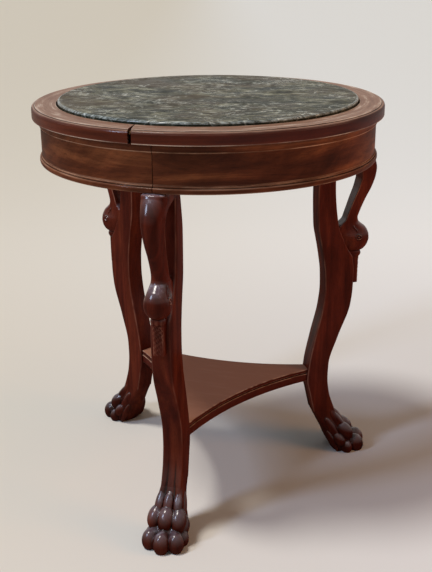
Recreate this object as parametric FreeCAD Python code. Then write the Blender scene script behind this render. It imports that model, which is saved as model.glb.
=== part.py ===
import FreeCAD, Part
import math
import os

# Round side table on three swan-neck legs with paw feet, in millimetres.
# The origin lies on the floor under the middle of the top, +Z is up and the front leg points along -Y.

# Heights, stacked up from the floor
ankle_height = 93.0          # floor to the joint between paw and leg
leg_height = 620.0           # floor to the underside of the apron
bead_height = 12.0           # bead moulding round the foot of the apron
apron_face_height = 50.0     # plain face of the apron
cove_height = 12.0           # cove moulding under the rim
rim_thickness = 21.0
stone_thickness = 20.0
stone_proud = 6.0            # how far the stone stands above the rim
sub_top_thickness = 18.0

# Top, from the outside in
rim_radius = 300.0
rim_overhang = 13.0          # rim face beyond the apron face
rim_width = 42.0             # rim face to the recess of the stone
rim_round = 6.0              # round of the rim's upper outside edge
rim_step = 1.2               # small step above that round
rim_bevel = 1.5              # bevel of the rim's lower and inner edges
stone_gap = 2.0              # between the stone and the rim
stone_arris = 4.0            # round of the stone's upper edge
apron_thickness = 22.0
moulding_rebate = 6.0        # depth let into the apron face for both mouldings
cove_reach = 8.0             # head of the cove beyond the apron face
cove_fillet = 2.0            # flat at the foot of the cove, its height and its projection
bead_reach = 4.0             # bead beyond the apron face
bead_shoulder = 1.3          # flats above and below the bead, beyond the apron face
bead_fillet = 2.5            # height of the flat above the bead
bead_groove = 1.0            # groove between that flat and the bead

# Joints in the top
rim_joint_azimuth = -5.7     # open rim joint at the face, degrees from the front leg
rim_joint_skew = 2.5         # how far the joint turns on its way in, degrees
rim_joint_open = 6.0         # open rim joint at the face
rim_joint_open_inside = 1.0  # the same joint at the stone
apron_joint_open = 1.2       # open apron joint over the front leg
joint_tight = 0.3            # the other joints
spline_length = 44.0         # loose tongue across each rim joint
spline_width = 18.0
spline_thickness = 4.0

# Legs
leg_top_width = 33.5
leg_ankle_width = 37.5
leg_arris = 2.5              # rounded corners of the leg's section
# Side view of the leg: share of its length above the ankle,
# then the back edge and the front edge, both inwards of the apron face
leg_curve = [
    (0.000, 83.5, 39.0),
    (0.076, 92.5, 52.0),
    (0.133, 98.5, 55.5),
    (0.189, 96.0, 54.5),
    (0.297, 85.0, 37.5),
    (0.420, 70.5, 14.5),
    (0.483, 67.5, 11.0),
    (0.541, 68.5, 10.5),
    (0.598, 72.5, 14.0),
    (0.636, 76.0, 25.0),
    (0.726, 84.5, 44.5),
    (0.851, 86.5, 52.0),
    (0.930, 81.0, 53.0),
    (1.000, 72.5, 54.0),
]
leg_sections = 24            # level sections that the leg is drawn through

# Swan's neck, head and beak on the front of each leg
beak_tip_height = 355.5
neck_seat = 60.0             # back of the carving inside the leg, inwards of the apron face
head_share = 0.317           # middle of the head, as a share of the carving's length
# Share of the length above the beak's tip, width at the back,
# then the outermost point beyond the apron face and the width there
neck_curve = [
    (0.000, 15.5, 1.0, 18.5),
    (0.070, 16.5, 1.0, 19.0),
    (0.143, 17.0, 1.0, 19.5),
    (0.193, 17.0, 4.0, 20.0),
    (0.216, 17.5, 6.5, 24.0),
    (0.240, 18.0, 5.0, 24.0),
    (0.274, 19.0, 15.0, 37.5),
    (0.317, 22.0, 20.0, 42.0),
    (0.359, 26.0, 20.5, 39.0),
    (0.402, 26.0, 14.5, 31.5),
    (0.444, 26.0, 1.5, 27.0),
    (0.486, 26.0, -3.0, 25.5),
    (0.541, 28.0, 1.5, 24.5),
    (0.618, 32.0, 11.0, 24.5),
    (0.702, 34.0, 22.5, 26.0),
    (0.779, 35.0, 29.0, 28.5),
    (0.847, 35.0, 30.5, 31.5),
    (0.913, 34.0, 24.5, 35.5),
    (0.962, 33.5, 16.5, 37.5),
    (1.000, 33.0, 8.0, 38.5),
]
neck_sections = 40           # level sections that the carving is drawn through
# Edge of the opening between neck and leg, from the arch down the back of the neck:
# the same shares and the distance beyond the apron face
opening_curve = [
    (0.924, -59.0),
    (0.909, -38.5),
    (0.892, -23.5),
    (0.871, -13.5),
    (0.845, -7.0),
    (0.809, -3.5),
    (0.775, -3.0),
    (0.703, -7.5),
    (0.618, -16.0),
    (0.529, -24.5),
    (0.473, -30.0),
    (0.448, -36.5),
    (0.425, -43.0),
]

# Paws
# Share of the ankle height, back and front inwards of the apron face, width, corner radius
paw_curve = [
    (0.00, 38.0, 2.0, 54.0, 14.0),
    (0.10, 43.0, -4.0, 60.0, 16.0),
    (0.27, 51.5, -4.0, 61.0, 18.0),
    (0.46, 59.0, 3.0, 58.0, 18.0),
    (0.65, 68.0, 13.0, 52.0, 14.0),
    (0.84, 76.5, 26.5, 43.0, 9.0),
]
paw_sections = 16            # level sections that the paw's body is drawn through
toe_radius = 14.5
toe_half_length = 22.0       # along the toe's upright axis
toe_lean = 5.0               # that axis, foot outwards, degrees
toe_height = 21.5            # middle of a front toe above the floor
toe_reach = 32.0             # front of the middle toe beyond the apron face
knuckle_radius = 12.5
knuckle_half_length = 22.5
knuckle_lean = 40.0
knuckle_height = 55.0
knuckle_setback = 26.0       # knuckles behind the toes
side_toe_spread = 22.5       # side toes from the middle of the paw
side_toe_setback = 9.5       # side toes behind the middle one
side_toe_size = 0.96         # side toe as a share of the middle one
heel_toe_spread = 28.0
heel_toe_setback = 38.5
heel_toe_size = 0.76
knuckle_gather = 0.9         # spread of the knuckles as a share of the toes'
tendon_gather = 0.46         # spread of the tendons as a share of the toes'
tendon_radius = 5.0          # upper end of the tendon behind each knuckle
tendon_drop = 8.0            # that end below the ankle joint
tendon_swell = 0.8           # lower end, as a share of the knuckle

# Shelf between the legs
shelf_top = 184.5
shelf_thickness = 24.0
shelf_waist = 83.0           # middle of each hollow side to the axis
shelf_end_width = 25.0       # where it butts against a leg
shelf_lip = 6.5              # plain lip at the upper edge
shelf_lip_inset = 1.0
shelf_groove = 2.5           # groove below the lip, its height and its depth
shelf_seat = 8.0             # shelf drawn into the leg before its end is scribed to it

# Inner parts of the top
block_length = 75.0          # along the radius
block_width = 70.0
board_width = 176.0          # middle board of the sub-top
batten_width = 30.0
batten_thickness = 15.0
batten_length = 400.0
batten_spacing = 180.0

# Fixings
dowel_radius = 4.0
dowel_reach = 20.0           # depth in each piece
neck_dowel_reach = 12.0      # depth of the upper dowel in the neck
rim_dowel_count = 9
rim_dowel_radius = 3.0
rim_dowel_reach = 12.0
shelf_dowel_radius = 3.0
shelf_dowel_spacing = 12.0
hole_clearance = 0.05        # added to a dowel's or a screw's radius
fit_gap = 0.3                # between the sub-top, the blocks and what surrounds them
screw_radius = 2.0
screw_head_radius = 4.0
screw_head_height = 2.5
screw_bite = 12.0            # thread in the second piece
block_screw_length = 40.0
block_screw_spacing = 40.0

# Places that follow from those sizes
leg_length = leg_height - ankle_height
neck_length = leg_height - beak_tip_height
apron_foot = leg_height
apron_face_foot = apron_foot + bead_height
apron_face_head = apron_face_foot + apron_face_height
rim_foot = apron_face_head + cove_height
rim_head = rim_foot + rim_thickness
stone_head = rim_head + stone_proud
stone_foot = stone_head - stone_thickness
sub_top_foot = stone_foot - sub_top_thickness
rim_bore = rim_radius - rim_width
stone_radius = rim_bore - stone_gap
apron_radius = rim_radius - rim_overhang
apron_inside = apron_radius - apron_thickness
core_radius = apron_radius - moulding_rebate
sub_top_radius = apron_inside - fit_gap
rebate_radius = sub_top_radius + 2 * fit_gap
core_middle = (apron_inside + core_radius) / 2
shelf_foot = shelf_top - shelf_thickness
shelf_middle = shelf_top - shelf_thickness / 2
leg_turns = {"front": 0.0, "right": 120.0, "left": 240.0}
side_names = ("right", "back", "left")

os.makedirs("parts", exist_ok=True)
pieces = {}


def at(radius, across, height):
    """Point beside the front leg: distance from the axis, distance to the right, height."""
    return FreeCAD.Vector(across, -radius, height)


def polar(radius, azimuth, height):
    """Point at an azimuth in degrees, counted from the front leg towards the right."""
    angle = math.radians(azimuth)
    return FreeCAD.Vector(radius * math.sin(angle), -radius * math.cos(angle), height)


def turned(shape, azimuth):
    """Copy of a shape, turned about the table's axis."""
    copy = shape.copy()
    copy.rotate(FreeCAD.Vector(0, 0, 0), FreeCAD.Vector(0, 0, 1), azimuth)
    return copy


def line(start, end):
    return Part.LineSegment(start, end).toShape()


def arc(start, middle, end):
    return Part.Arc(start, middle, end).toShape()


def curve(points):
    spline = Part.BSplineCurve()
    spline.interpolate(points)
    return spline.toShape()


def chain(points):
    """Straight edges through a list of points."""
    return [line(a, b) for a, b in zip(points, points[1:])]


def ring(edges):
    """Solid of revolution from the edges of a closed section in the plane of the front leg."""
    face = Part.Face(Part.Wire(edges))
    return face.revolve(FreeCAD.Vector(0, 0, 0), FreeCAD.Vector(0, 0, 1), 360)


def prism(points, foot, head):
    """Upright prism over a polygon drawn on the floor."""
    corners = [FreeCAD.Vector(p.x, p.y, foot) for p in points]
    face = Part.Face(Part.makePolygon(corners + corners[:1]))
    return face.extrude(FreeCAD.Vector(0, 0, head - foot))


def cylinder(radius, start, end):
    way = end - start
    return Part.makeCylinder(radius, way.Length, start, way)


def cone(start, start_radius, end, end_radius):
    way = end - start
    return Part.makeCone(start_radius, end_radius, way.Length, start, way)


def egg(middle, lean, half_length, radius):
    """Egg round an upright axis that leans outwards at its foot."""
    head = FreeCAD.Vector(0, 0, half_length)
    outline = Part.Ellipse(head, FreeCAD.Vector(radius, 0, 0), FreeCAD.Vector(0, 0, 0))
    half = Part.ArcOfEllipse(outline, 0, math.pi).toShape()
    face = Part.Face(Part.Wire([half, line(-head, head)]))
    solid = face.revolve(FreeCAD.Vector(0, 0, 0), FreeCAD.Vector(0, 0, 1), 360)
    solid.rotate(FreeCAD.Vector(0, 0, 0), FreeCAD.Vector(1, 0, 0), -lean)
    solid.translate(middle)
    return solid


def joint_cuts(azimuth, skew, widths, inner_widths, bore, face):
    """Three saw cuts through a ring, each from its face to its bore."""
    cuts = []
    for k in range(3):
        outside = polar(face, azimuth + 120 * k, 0)
        inside = polar(bore, azimuth - skew + 120 * k, 0)
        along = (outside - inside).normalize()
        aside = FreeCAD.Vector(-along.y, along.x, 0)
        spare = along * rim_overhang
        half_out = aside * (widths[k] / 2)
        half_in = aside * (inner_widths[k] / 2)
        corners = [
            outside + spare + half_out,
            outside + spare - half_out,
            inside - spare - half_in,
            inside - spare + half_in,
        ]
        cuts.append(prism(corners, apron_foot - bead_height, stone_head))
    return cuts


def name_segments(name, cut_ring):
    """Gives the three segments of a cut ring their names, by the way their middles point."""
    def azimuth(solid):
        middle = solid.CenterOfMass
        return math.degrees(math.atan2(middle.x, -middle.y)) % 360

    for side, solid in zip(side_names, sorted(cut_ring.Solids, key=azimuth)):
        pieces[name + "_" + side] = solid


def between(stations, share):
    """Values at a share of the way, on smooth cubics through the stations that never overshoot them."""
    shares = [station[0] for station in stations]
    steps = [b - a for a, b in zip(shares, shares[1:])]
    span = max(k for k in range(len(steps)) if k == 0 or shares[k] <= share)
    part = (share - shares[span]) / steps[span]
    values = []
    for column in list(zip(*stations))[1:]:
        climbs = [(b - a) / step for a, b, step in zip(column, column[1:], steps)]
        slopes = [climbs[0]]
        for a, b in zip(climbs, climbs[1:]):
            slopes.append(2 * a * b / (a + b) if a * b > 0 else 0.0)
        slopes.append(climbs[-1])
        start = column[span] * (1 + 2 * part) + slopes[span] * steps[span] * part
        end = column[span + 1] * (3 - 2 * part) + slopes[span + 1] * steps[span] * (part - 1)
        values.append(start * (1 - part) ** 2 + end * part ** 2)
    return values


def loft(section, stations, count):
    """Smooth solid through evenly spaced level sections along a table of stations."""
    wires = []
    for k in range(count + 1):
        share = k / count
        wires.append(section(share, *between(stations, share)))
    return Part.makeLoft(wires, True, False)


def leg_edges(height):
    """Back and front radius of the leg at a height."""
    back, front = between(leg_curve, (height - ankle_height) / leg_length)
    return apron_radius - back, apron_radius - front


def rounded_section(height, back, front, width, corner):
    """Level rectangle with rounded corners, as a closed wire of eight edges."""
    half = width / 2
    pull = corner * (1 - math.sqrt(0.5))
    corners = []
    for radius, inward in ((front, -1), (back, 1)):
        for side in (1, -1) if inward < 0 else (-1, 1):
            beside = at(radius, side * (half - corner), height)
            middle = at(radius + inward * pull, side * (half - pull), height)
            behind = at(radius + inward * corner, side * half, height)
            order = (behind, middle, beside) if side * inward < 0 else (beside, middle, behind)
            corners.append(order)
    edges = []
    for here, after in zip(corners, corners[1:] + corners[:1]):
        edges.append(arc(*here))
        edges.append(line(here[2], after[0]))
    return Part.Wire(edges)


def leg_section(share, back, front):
    width = leg_ankle_width + (leg_top_width - leg_ankle_width) * share
    height = ankle_height + share * leg_length
    return rounded_section(height, apron_radius - back, apron_radius - front, width, leg_arris)


def neck_section(share, back_width, reach, width):
    """Level section of the carving: a flat back, sides that spread, and a half-round front."""
    height = beak_tip_height + share * neck_length
    back = apron_radius - neck_seat
    front = apron_radius + reach
    shoulder = front - width / 2
    right_back = at(back, back_width / 2, height)
    left_back = at(back, -back_width / 2, height)
    right = at(shoulder, width / 2, height)
    left = at(shoulder, -width / 2, height)
    return Part.Wire([
        line(left_back, right_back),
        line(right_back, right),
        arc(right, at(front, 0, height), left),
        line(left, left_back),
    ])


def paw_section(share, back, front, width, corner):
    return rounded_section(share * ankle_height, apron_radius - back, apron_radius - front, width, corner)


def place_legs(name, shape):
    for place, azimuth in leg_turns.items():
        pieces[name + "_" + place] = turned(shape, azimuth)


def three_times(shapes):
    """One group with a copy of each shape at every leg."""
    return Part.makeCompound([turned(s, a) for a in leg_turns.values() for s in shapes])


def dowel_pair(start, end, radius=dowel_radius):
    """A dowel and the slightly wider cylinder that bores its hole."""
    return cylinder(radius, start, end), cylinder(radius + hole_clearance, start, end)


# Stone slab, loose in the recess of the rim
stone_corner = stone_arris * (1 - math.sqrt(0.5))
pieces["marble_top"] = ring(
    chain([
        at(stone_radius - stone_arris, 0, stone_head),
        at(0, 0, stone_head),
        at(0, 0, stone_foot),
        at(stone_radius, 0, stone_foot),
        at(stone_radius, 0, stone_head - stone_arris),
    ])
    + [arc(
        at(stone_radius, 0, stone_head - stone_arris),
        at(stone_radius - stone_corner, 0, stone_head - stone_corner),
        at(stone_radius - stone_arris, 0, stone_head),
    )]
)

# Rim: three segments with an open joint at the front left, tongued together and dowelled to the apron
round_foot = rim_head - rim_step - rim_round
round_bulge = rim_round * math.sqrt(0.5)
rim_ring = ring(
    [arc(
        at(rim_radius - rim_round, 0, rim_head - rim_step),
        at(rim_radius - rim_round + round_bulge, 0, round_foot + round_bulge),
        at(rim_radius, 0, round_foot),
    )]
    + chain([
        at(rim_radius, 0, round_foot),
        at(rim_radius, 0, rim_foot + rim_bevel),
        at(rim_radius - rim_bevel, 0, rim_foot),
        at(rebate_radius, 0, rim_foot),
        at(rebate_radius, 0, stone_foot),
        at(rim_bore, 0, stone_foot),
        at(rim_bore, 0, rim_head - rim_bevel),
        at(rim_bore + rim_bevel, 0, rim_head),
        at(rim_radius - rim_round, 0, rim_head),
        at(rim_radius - rim_round, 0, rim_head - rim_step),
    ])
)
tight = [joint_tight] * 2
rim_cuts = joint_cuts(
    rim_joint_azimuth,
    rim_joint_skew,
    [rim_joint_open] + tight,
    [rim_joint_open_inside] + tight,
    rim_bore,
    rim_radius,
)
spline_middle = (rim_bore + rim_radius) / 2
spline_height = (stone_foot + rim_head) / 2
splines = []
spline_slots = []
for k in range(3):
    for group, spare in ((splines, 0.0), (spline_slots, hole_clearance)):
        half_length = spline_length / 2 + spare
        half_width = spline_width / 2 + spare
        half_thickness = spline_thickness / 2 + spare
        tongue = Part.makeBox(
            2 * half_length,
            2 * half_width,
            2 * half_thickness,
            at(spline_middle + half_width, -half_length, spline_height - half_thickness),
        )
        group.append(turned(tongue, rim_joint_azimuth - rim_joint_skew / 2 + 120 * k))
rim_pins = []
rim_pin_holes = []
for k in range(rim_dowel_count):
    azimuth = rim_joint_azimuth + (k + 0.5) * 360 / rim_dowel_count
    pin, hole = dowel_pair(
        polar(core_middle, azimuth, rim_foot - rim_dowel_reach),
        polar(core_middle, azimuth, rim_foot + rim_dowel_reach),
        rim_dowel_radius,
    )
    rim_pins.append(pin)
    rim_pin_holes.append(hole)
name_segments("rim", rim_ring.cut(rim_cuts + spline_slots + rim_pin_holes))
pieces["rim_splines"] = Part.makeCompound(splines)
pieces["rim_dowels"] = Part.makeCompound(rim_pins)

# Leg blocks behind the apron joints, which carry the sub-top and hold the legs
block_foot = at(apron_inside - block_length, -block_width / 2, apron_foot)
block_box = Part.makeBox(
    block_width,
    block_length,
    sub_top_foot - apron_foot,
    block_foot - FreeCAD.Vector(0, block_length, 0),
)
apron_bore = cylinder(apron_inside - fit_gap, at(0, 0, apron_foot), at(0, 0, sub_top_foot))
block = block_box.common(apron_bore)
block_middle = (apron_foot + sub_top_foot) / 2
block_screws = []
block_screw_holes = []
for side in (-1, 1):
    across = side * block_screw_spacing / 2
    tip = at(apron_inside + screw_bite, across, block_middle)
    head = at(apron_inside + screw_bite - block_screw_length, across, block_middle)
    seat = at(apron_inside + screw_bite - block_screw_length - screw_head_height, across, block_middle)
    mouth = at(apron_inside - block_length, across, block_middle)
    shank = cylinder(screw_radius, head, tip)
    block_screws.append(cylinder(screw_head_radius, seat, head).fuse(shank))
    block_screw_holes.append(cylinder(screw_radius + hole_clearance, head, tip))
    block_screw_holes.append(cylinder(screw_head_radius + hole_clearance, mouth, head))
pieces["block_screws"] = three_times(block_screws)
all_block_screw_holes = [turned(h, a) for a in leg_turns.values() for h in block_screw_holes]

# Apron: three segments that meet over the legs, with the two mouldings let into their faces
apron_widths = [apron_joint_open] + tight
apron_cuts = joint_cuts(0.0, 0.0, apron_widths, apron_widths, apron_inside, rim_radius)
apron_ring = ring(chain([
    at(apron_inside, 0, apron_foot),
    at(core_radius, 0, apron_foot),
    at(core_radius, 0, apron_face_foot),
    at(apron_radius, 0, apron_face_foot),
    at(apron_radius, 0, apron_face_head),
    at(core_radius, 0, apron_face_head),
    at(core_radius, 0, rim_foot),
    at(apron_inside, 0, rim_foot),
    at(apron_inside, 0, apron_foot),
]))
name_segments("apron", apron_ring.cut(apron_cuts + rim_pin_holes + all_block_screw_holes))

cove_foot = at(apron_radius + cove_fillet, 0, apron_face_head + cove_fillet)
cove_head = at(apron_radius + cove_reach, 0, rim_foot)
cove_hollow = 1 - math.sqrt(0.5)
cove_middle = at(
    apron_radius + cove_fillet + (cove_reach - cove_fillet) * cove_hollow,
    0,
    apron_face_head + cove_fillet + (cove_height - cove_fillet) * (1 - cove_hollow),
)
cove_ring = ring(
    chain([
        cove_head,
        at(core_radius, 0, rim_foot),
        at(core_radius, 0, apron_face_head),
        at(apron_radius + cove_fillet, 0, apron_face_head),
        cove_foot,
    ])
    + [arc(cove_foot, cove_middle, cove_head)]
)
name_segments("cove_moulding", cove_ring.cut(apron_cuts))

bead_head = apron_face_foot - bead_fillet - bead_groove
bead_flat = apron_radius + bead_shoulder
bead_ring = ring(
    chain([
        at(bead_flat, 0, apron_foot),
        at(core_radius, 0, apron_foot),
        at(core_radius, 0, apron_face_foot),
        at(bead_flat, 0, apron_face_foot),
        at(bead_flat, 0, apron_face_foot - bead_fillet),
        at(apron_radius, 0, apron_face_foot - bead_fillet),
        at(apron_radius, 0, bead_head),
        at(bead_flat, 0, bead_head),
    ])
    + [arc(
        at(bead_flat, 0, bead_head),
        at(apron_radius + bead_reach, 0, (apron_foot + bead_head) / 2),
        at(bead_flat, 0, apron_foot),
    )]
)
name_segments("bead_moulding", bead_ring.cut(apron_cuts))

# Sub-top under the stone: three boards on two battens
batten_screws = []
batten_screw_holes = []
batten_middles = {"left": -batten_spacing / 2, "right": batten_spacing / 2}
batten_foot = sub_top_foot - batten_thickness
board_rows = {
    "front": -board_width / 2 - batten_width,
    "middle": 0.0,
    "back": board_width / 2 + batten_width,
}
for across in batten_middles.values():
    for row in board_rows.values():
        for side in (-1, 1):
            spot = FreeCAD.Vector(across, row + side * batten_width / 2, batten_foot)
            seat = spot + FreeCAD.Vector(0, 0, screw_head_height)
            tip = spot + FreeCAD.Vector(0, 0, batten_thickness + screw_bite)
            shank = cylinder(screw_radius, seat, tip)
            batten_screws.append(cylinder(screw_head_radius, spot, seat).fuse(shank))
            batten_screw_holes.append(cylinder(screw_radius + hole_clearance, seat, tip))
            batten_screw_holes.append(cylinder(screw_head_radius + hole_clearance, spot, seat))
pieces["batten_screws"] = Part.makeCompound(batten_screws)
for place, across in batten_middles.items():
    batten = Part.makeBox(
        batten_width,
        batten_length,
        batten_thickness,
        FreeCAD.Vector(across - batten_width / 2, -batten_length / 2, batten_foot),
    )
    pieces["batten_" + place] = batten.cut(batten_screw_holes)
disc = cylinder(sub_top_radius, at(0, 0, sub_top_foot), at(0, 0, stone_foot))
saw_cuts = []
for side in (-1, 1):
    saw_cuts.append(Part.makeBox(
        2 * rim_radius,
        joint_tight,
        stone_thickness + sub_top_thickness,
        FreeCAD.Vector(-rim_radius, side * board_width / 2 - joint_tight / 2, sub_top_foot - fit_gap),
    ))
boards = disc.cut(saw_cuts + batten_screw_holes).Solids
for place, board in zip(board_rows, sorted(boards, key=lambda solid: solid.CenterOfMass.y)):
    pieces["sub_top_" + place] = board

# Legs, with the carving scribed to their front face and the shelf to their back face
leg = loft(leg_section, leg_curve, leg_sections)
carving = loft(neck_section, neck_curve, neck_sections)
arch = [at(apron_radius + reach, 0, beak_tip_height + share * neck_length) for share, reach in opening_curve]
inside_leg = apron_radius - neck_seat - leg_arris
opening_edges = [curve(arch)] + chain([
    arch[-1],
    at(inside_leg, 0, arch[-1].z),
    at(inside_leg, 0, arch[0].z),
    arch[0],
])
opening_face = Part.Face(Part.Wire(opening_edges))
opening_face.translate(FreeCAD.Vector(-block_width, 0, 0))
opening = opening_face.extrude(FreeCAD.Vector(2 * block_width, 0, 0))
neck = carving.cut([opening, leg])

# Paw: an ankle that spreads to the floor, three front toes and two heel toes with knuckles and tendons
ankle_station = (1.0,) + leg_curve[0][1:] + (leg_ankle_width, leg_arris)
paw = loft(paw_section, paw_curve + [ankle_station], paw_sections)
ankle_back, ankle_front = leg_edges(ankle_height)
middle_tip = apron_radius + toe_reach - toe_radius
toe_rows = (
    (0.0, 0.0, 1.0),
    (side_toe_spread, side_toe_setback, side_toe_size),
    (-side_toe_spread, side_toe_setback, side_toe_size),
    (heel_toe_spread, heel_toe_setback, heel_toe_size),
    (-heel_toe_spread, heel_toe_setback, heel_toe_size),
)
toes = []
for spread, setback, size in toe_rows:
    tip = middle_tip - setback
    toe = at(tip, spread, toe_height * size)
    knuckle = at(tip - knuckle_setback * size, spread * knuckle_gather, knuckle_height * size)
    tendon = at(
        ankle_front - tendon_radius / 2 - setback * tendon_gather,
        spread * tendon_gather,
        ankle_height - tendon_drop,
    )
    toes.append(egg(toe, toe_lean, toe_half_length * size, toe_radius * size))
    toes.append(egg(knuckle, knuckle_lean, knuckle_half_length * size, knuckle_radius * size))
    toes.append(cone(tendon, tendon_radius, knuckle, knuckle_radius * size * tendon_swell))
below_floor = Part.makeBox(
    2 * rim_radius, 2 * rim_radius, toe_radius, at(2 * rim_radius, -rim_radius, -toe_radius)
)
paw = paw.fuse(toes).cut(below_floor)

# Shelf: a board with three hollow sides, its end scribed to each leg
shelf_end = leg_edges(shelf_middle)[0] + shelf_seat


def shelf_layer(inset, foot, head):
    """Slice of the shelf, set in from its outline."""
    edges = []
    half = shelf_end_width / 2 - inset
    for k in range(3):
        here = turned(Part.Vertex(at(shelf_end, half, foot)), 120 * k).Point
        left = turned(Part.Vertex(at(shelf_end, -half, foot)), 120 * k).Point
        after = turned(Part.Vertex(at(shelf_end, -half, foot)), 120 * (k + 1)).Point
        edges.append(line(left, here))
        edges.append(arc(here, polar(shelf_waist - inset, 60 + 120 * k, foot), after))
    return Part.Face(Part.Wire(edges)).extrude(FreeCAD.Vector(0, 0, head - foot))


groove_foot = shelf_top - shelf_lip - shelf_groove
shelf = shelf_layer(0.0, shelf_foot, groove_foot)
shelf = shelf.fuse(shelf_layer(shelf_groove, groove_foot, shelf_top - shelf_lip))
shelf = shelf.fuse(shelf_layer(shelf_lip_inset, shelf_top - shelf_lip, shelf_top))
shelf = shelf.cut([turned(leg, azimuth) for azimuth in leg_turns.values()])

# Dowels: leg and neck into the block, neck into the leg, leg into the paw, shelf into the legs
leg_top_middle = sum(leg_edges(leg_height)) / 2
neck_top_middle = (leg_edges(leg_height)[1] + apron_inside) / 2
head_height = beak_tip_height + head_share * neck_length
head_seat = leg_edges(head_height)[1]
ankle_middle = (ankle_back + ankle_front) / 2
shelf_back = leg_edges(shelf_middle)[0]
rise = FreeCAD.Vector(0, 0, dowel_reach)
leg_head = at(leg_top_middle, 0, leg_height)
leg_pin, leg_hole = dowel_pair(leg_head - rise, leg_head + rise)
neck_pin, neck_hole = dowel_pair(
    at(neck_top_middle, 0, leg_height - neck_dowel_reach), at(neck_top_middle, 0, leg_height) + rise
)
head_pin, head_hole = dowel_pair(
    at(head_seat - dowel_reach, 0, head_height), at(head_seat + dowel_reach, 0, head_height)
)
ankle = at(ankle_middle, 0, ankle_height)
paw_pin, paw_hole = dowel_pair(ankle - rise, ankle + rise)
shelf_pins = []
shelf_holes = []
for side in (-1, 1):
    across = side * shelf_dowel_spacing / 2
    pin, hole = dowel_pair(
        at(shelf_back - dowel_reach, across, shelf_middle),
        at(shelf_back + dowel_reach, across, shelf_middle),
        shelf_dowel_radius,
    )
    shelf_pins.append(pin)
    shelf_holes.append(hole)
pieces["leg_dowels"] = three_times([leg_pin])
pieces["neck_dowels"] = three_times([neck_pin])
pieces["head_dowels"] = three_times([head_pin])
pieces["paw_dowels"] = three_times([paw_pin])
pieces["shelf_dowels"] = three_times(shelf_pins)
place_legs("leg_block", block.cut(block_screw_holes + [leg_hole, neck_hole]))
place_legs("leg", leg.cut([leg_hole, head_hole, paw_hole] + shelf_holes))
place_legs("swan_neck", neck.cut([neck_hole, head_hole]))
place_legs("paw", paw.cut(paw_hole))
pieces["shelf"] = shelf.cut([turned(h, a) for a in leg_turns.values() for h in shelf_holes])

for name, shape in pieces.items():
    shape.exportStep("parts/" + name + ".step")
    print(name, len(shape.Solids), "solids", round(shape.Volume / 1000, 1), "cm3", shape.isValid())
print(len(pieces), "pieces")
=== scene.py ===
# %% [markdown]
# # A round side table on three swan-neck legs
# The table has a loose slab of green marble in a mahogany rim, an apron with a cove above and a bead below,
# three sabre-shaped legs carved with a swan's neck and ending in a lion's paw, and a hollow-sided shelf.
# The CAD model is loaded first and stays as a fixed frame: each piece that shows gets a finer surface in
# the place of its CAD node, so the first thing to keep is the size of that frame.

# %% Load the frame
import math

import bpy
import numpy as np
from mathutils import Matrix, Vector


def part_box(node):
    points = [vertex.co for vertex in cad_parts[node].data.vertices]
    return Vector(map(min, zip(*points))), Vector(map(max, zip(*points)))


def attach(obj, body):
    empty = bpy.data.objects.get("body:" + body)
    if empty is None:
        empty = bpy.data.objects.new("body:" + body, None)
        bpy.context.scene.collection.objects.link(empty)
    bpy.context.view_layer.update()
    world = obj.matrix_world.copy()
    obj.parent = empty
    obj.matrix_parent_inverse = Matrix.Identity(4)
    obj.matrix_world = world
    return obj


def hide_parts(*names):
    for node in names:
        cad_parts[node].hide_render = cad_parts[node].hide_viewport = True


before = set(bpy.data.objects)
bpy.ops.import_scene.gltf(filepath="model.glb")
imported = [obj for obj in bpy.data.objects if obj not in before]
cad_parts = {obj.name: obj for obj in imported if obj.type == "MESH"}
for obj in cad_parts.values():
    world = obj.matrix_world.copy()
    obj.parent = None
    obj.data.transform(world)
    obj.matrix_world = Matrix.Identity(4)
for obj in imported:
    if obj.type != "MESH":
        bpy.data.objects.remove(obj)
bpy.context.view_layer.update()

mm = 0.001

# %% [markdown]
# ## Camera
# The photograph looks down at the table from a little above its top, 17 degrees to the right of the front
# leg. A camera can be aimed with a constraint or by hand, but building its matrix from three turns keeps
# the small roll of a hand-held picture in the same formula as the heading and the pitch.

# %% Camera at the photograph's place
camera_distance = 1.62273
camera_height = 0.97171
camera_azimuth = math.radians(16.81)
camera_pitch = 0.354439
camera_yaw = 0.006685
camera_roll = -0.00849
camera_lens, camera_sensor = 59.0, 36.0


def photograph_camera():
    """Camera matrix: rolled about its line of sight, raised from looking straight down to the pitch below
    level, turned to the heading and moved to its place."""
    place = (math.sin(camera_azimuth) * camera_distance, -math.cos(camera_azimuth) * camera_distance,
             camera_height)
    heading = Matrix.Rotation(camera_azimuth - camera_yaw, 4, "Z")
    pitch = Matrix.Rotation(math.pi / 2 - camera_pitch, 4, "X")
    return Matrix.Translation(place) @ heading @ pitch @ Matrix.Rotation(camera_roll, 4, "Z")


def add_object(name, data):
    """New object that holds the data, linked to the scene at the origin."""
    thing = bpy.data.objects.new(name, data)
    bpy.context.scene.collection.objects.link(thing)
    return thing


camera = add_object("Camera", bpy.data.cameras.new("Camera"))
camera.data.lens = camera_lens
camera.data.sensor_width = camera_sensor
camera.matrix_world = photograph_camera()
bpy.context.scene.camera = camera
bpy.context.scene.view_settings.view_transform = "Standard"
print("camera at", [round(x, 3) for x in camera.location])

# %% [markdown]
# ## From a grid of points to a closed piece
# Each visible piece is a surface over a grid: rows run along the piece and columns run round it. numpy works
# out all the points at once, and foreach_set hands them to Blender in one go, which is far quicker than
# adding vertices one by one. The same grid also tells where the surface turns sharply: polish is rubbed thin
# on an arris, where the finishes also lighten it as painted highlight, and old wax gathers in a hollow, so
# both are kept as attributes for the finishes to read.


# %% Normals and the turn of a grid
def unit(steps, least):
    """Steps divided by their lengths, and those lengths, which are taken as no shorter than the least."""
    length = np.maximum(np.linalg.norm(steps, axis=-1, keepdims=True), least)
    return steps / length, length


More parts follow.
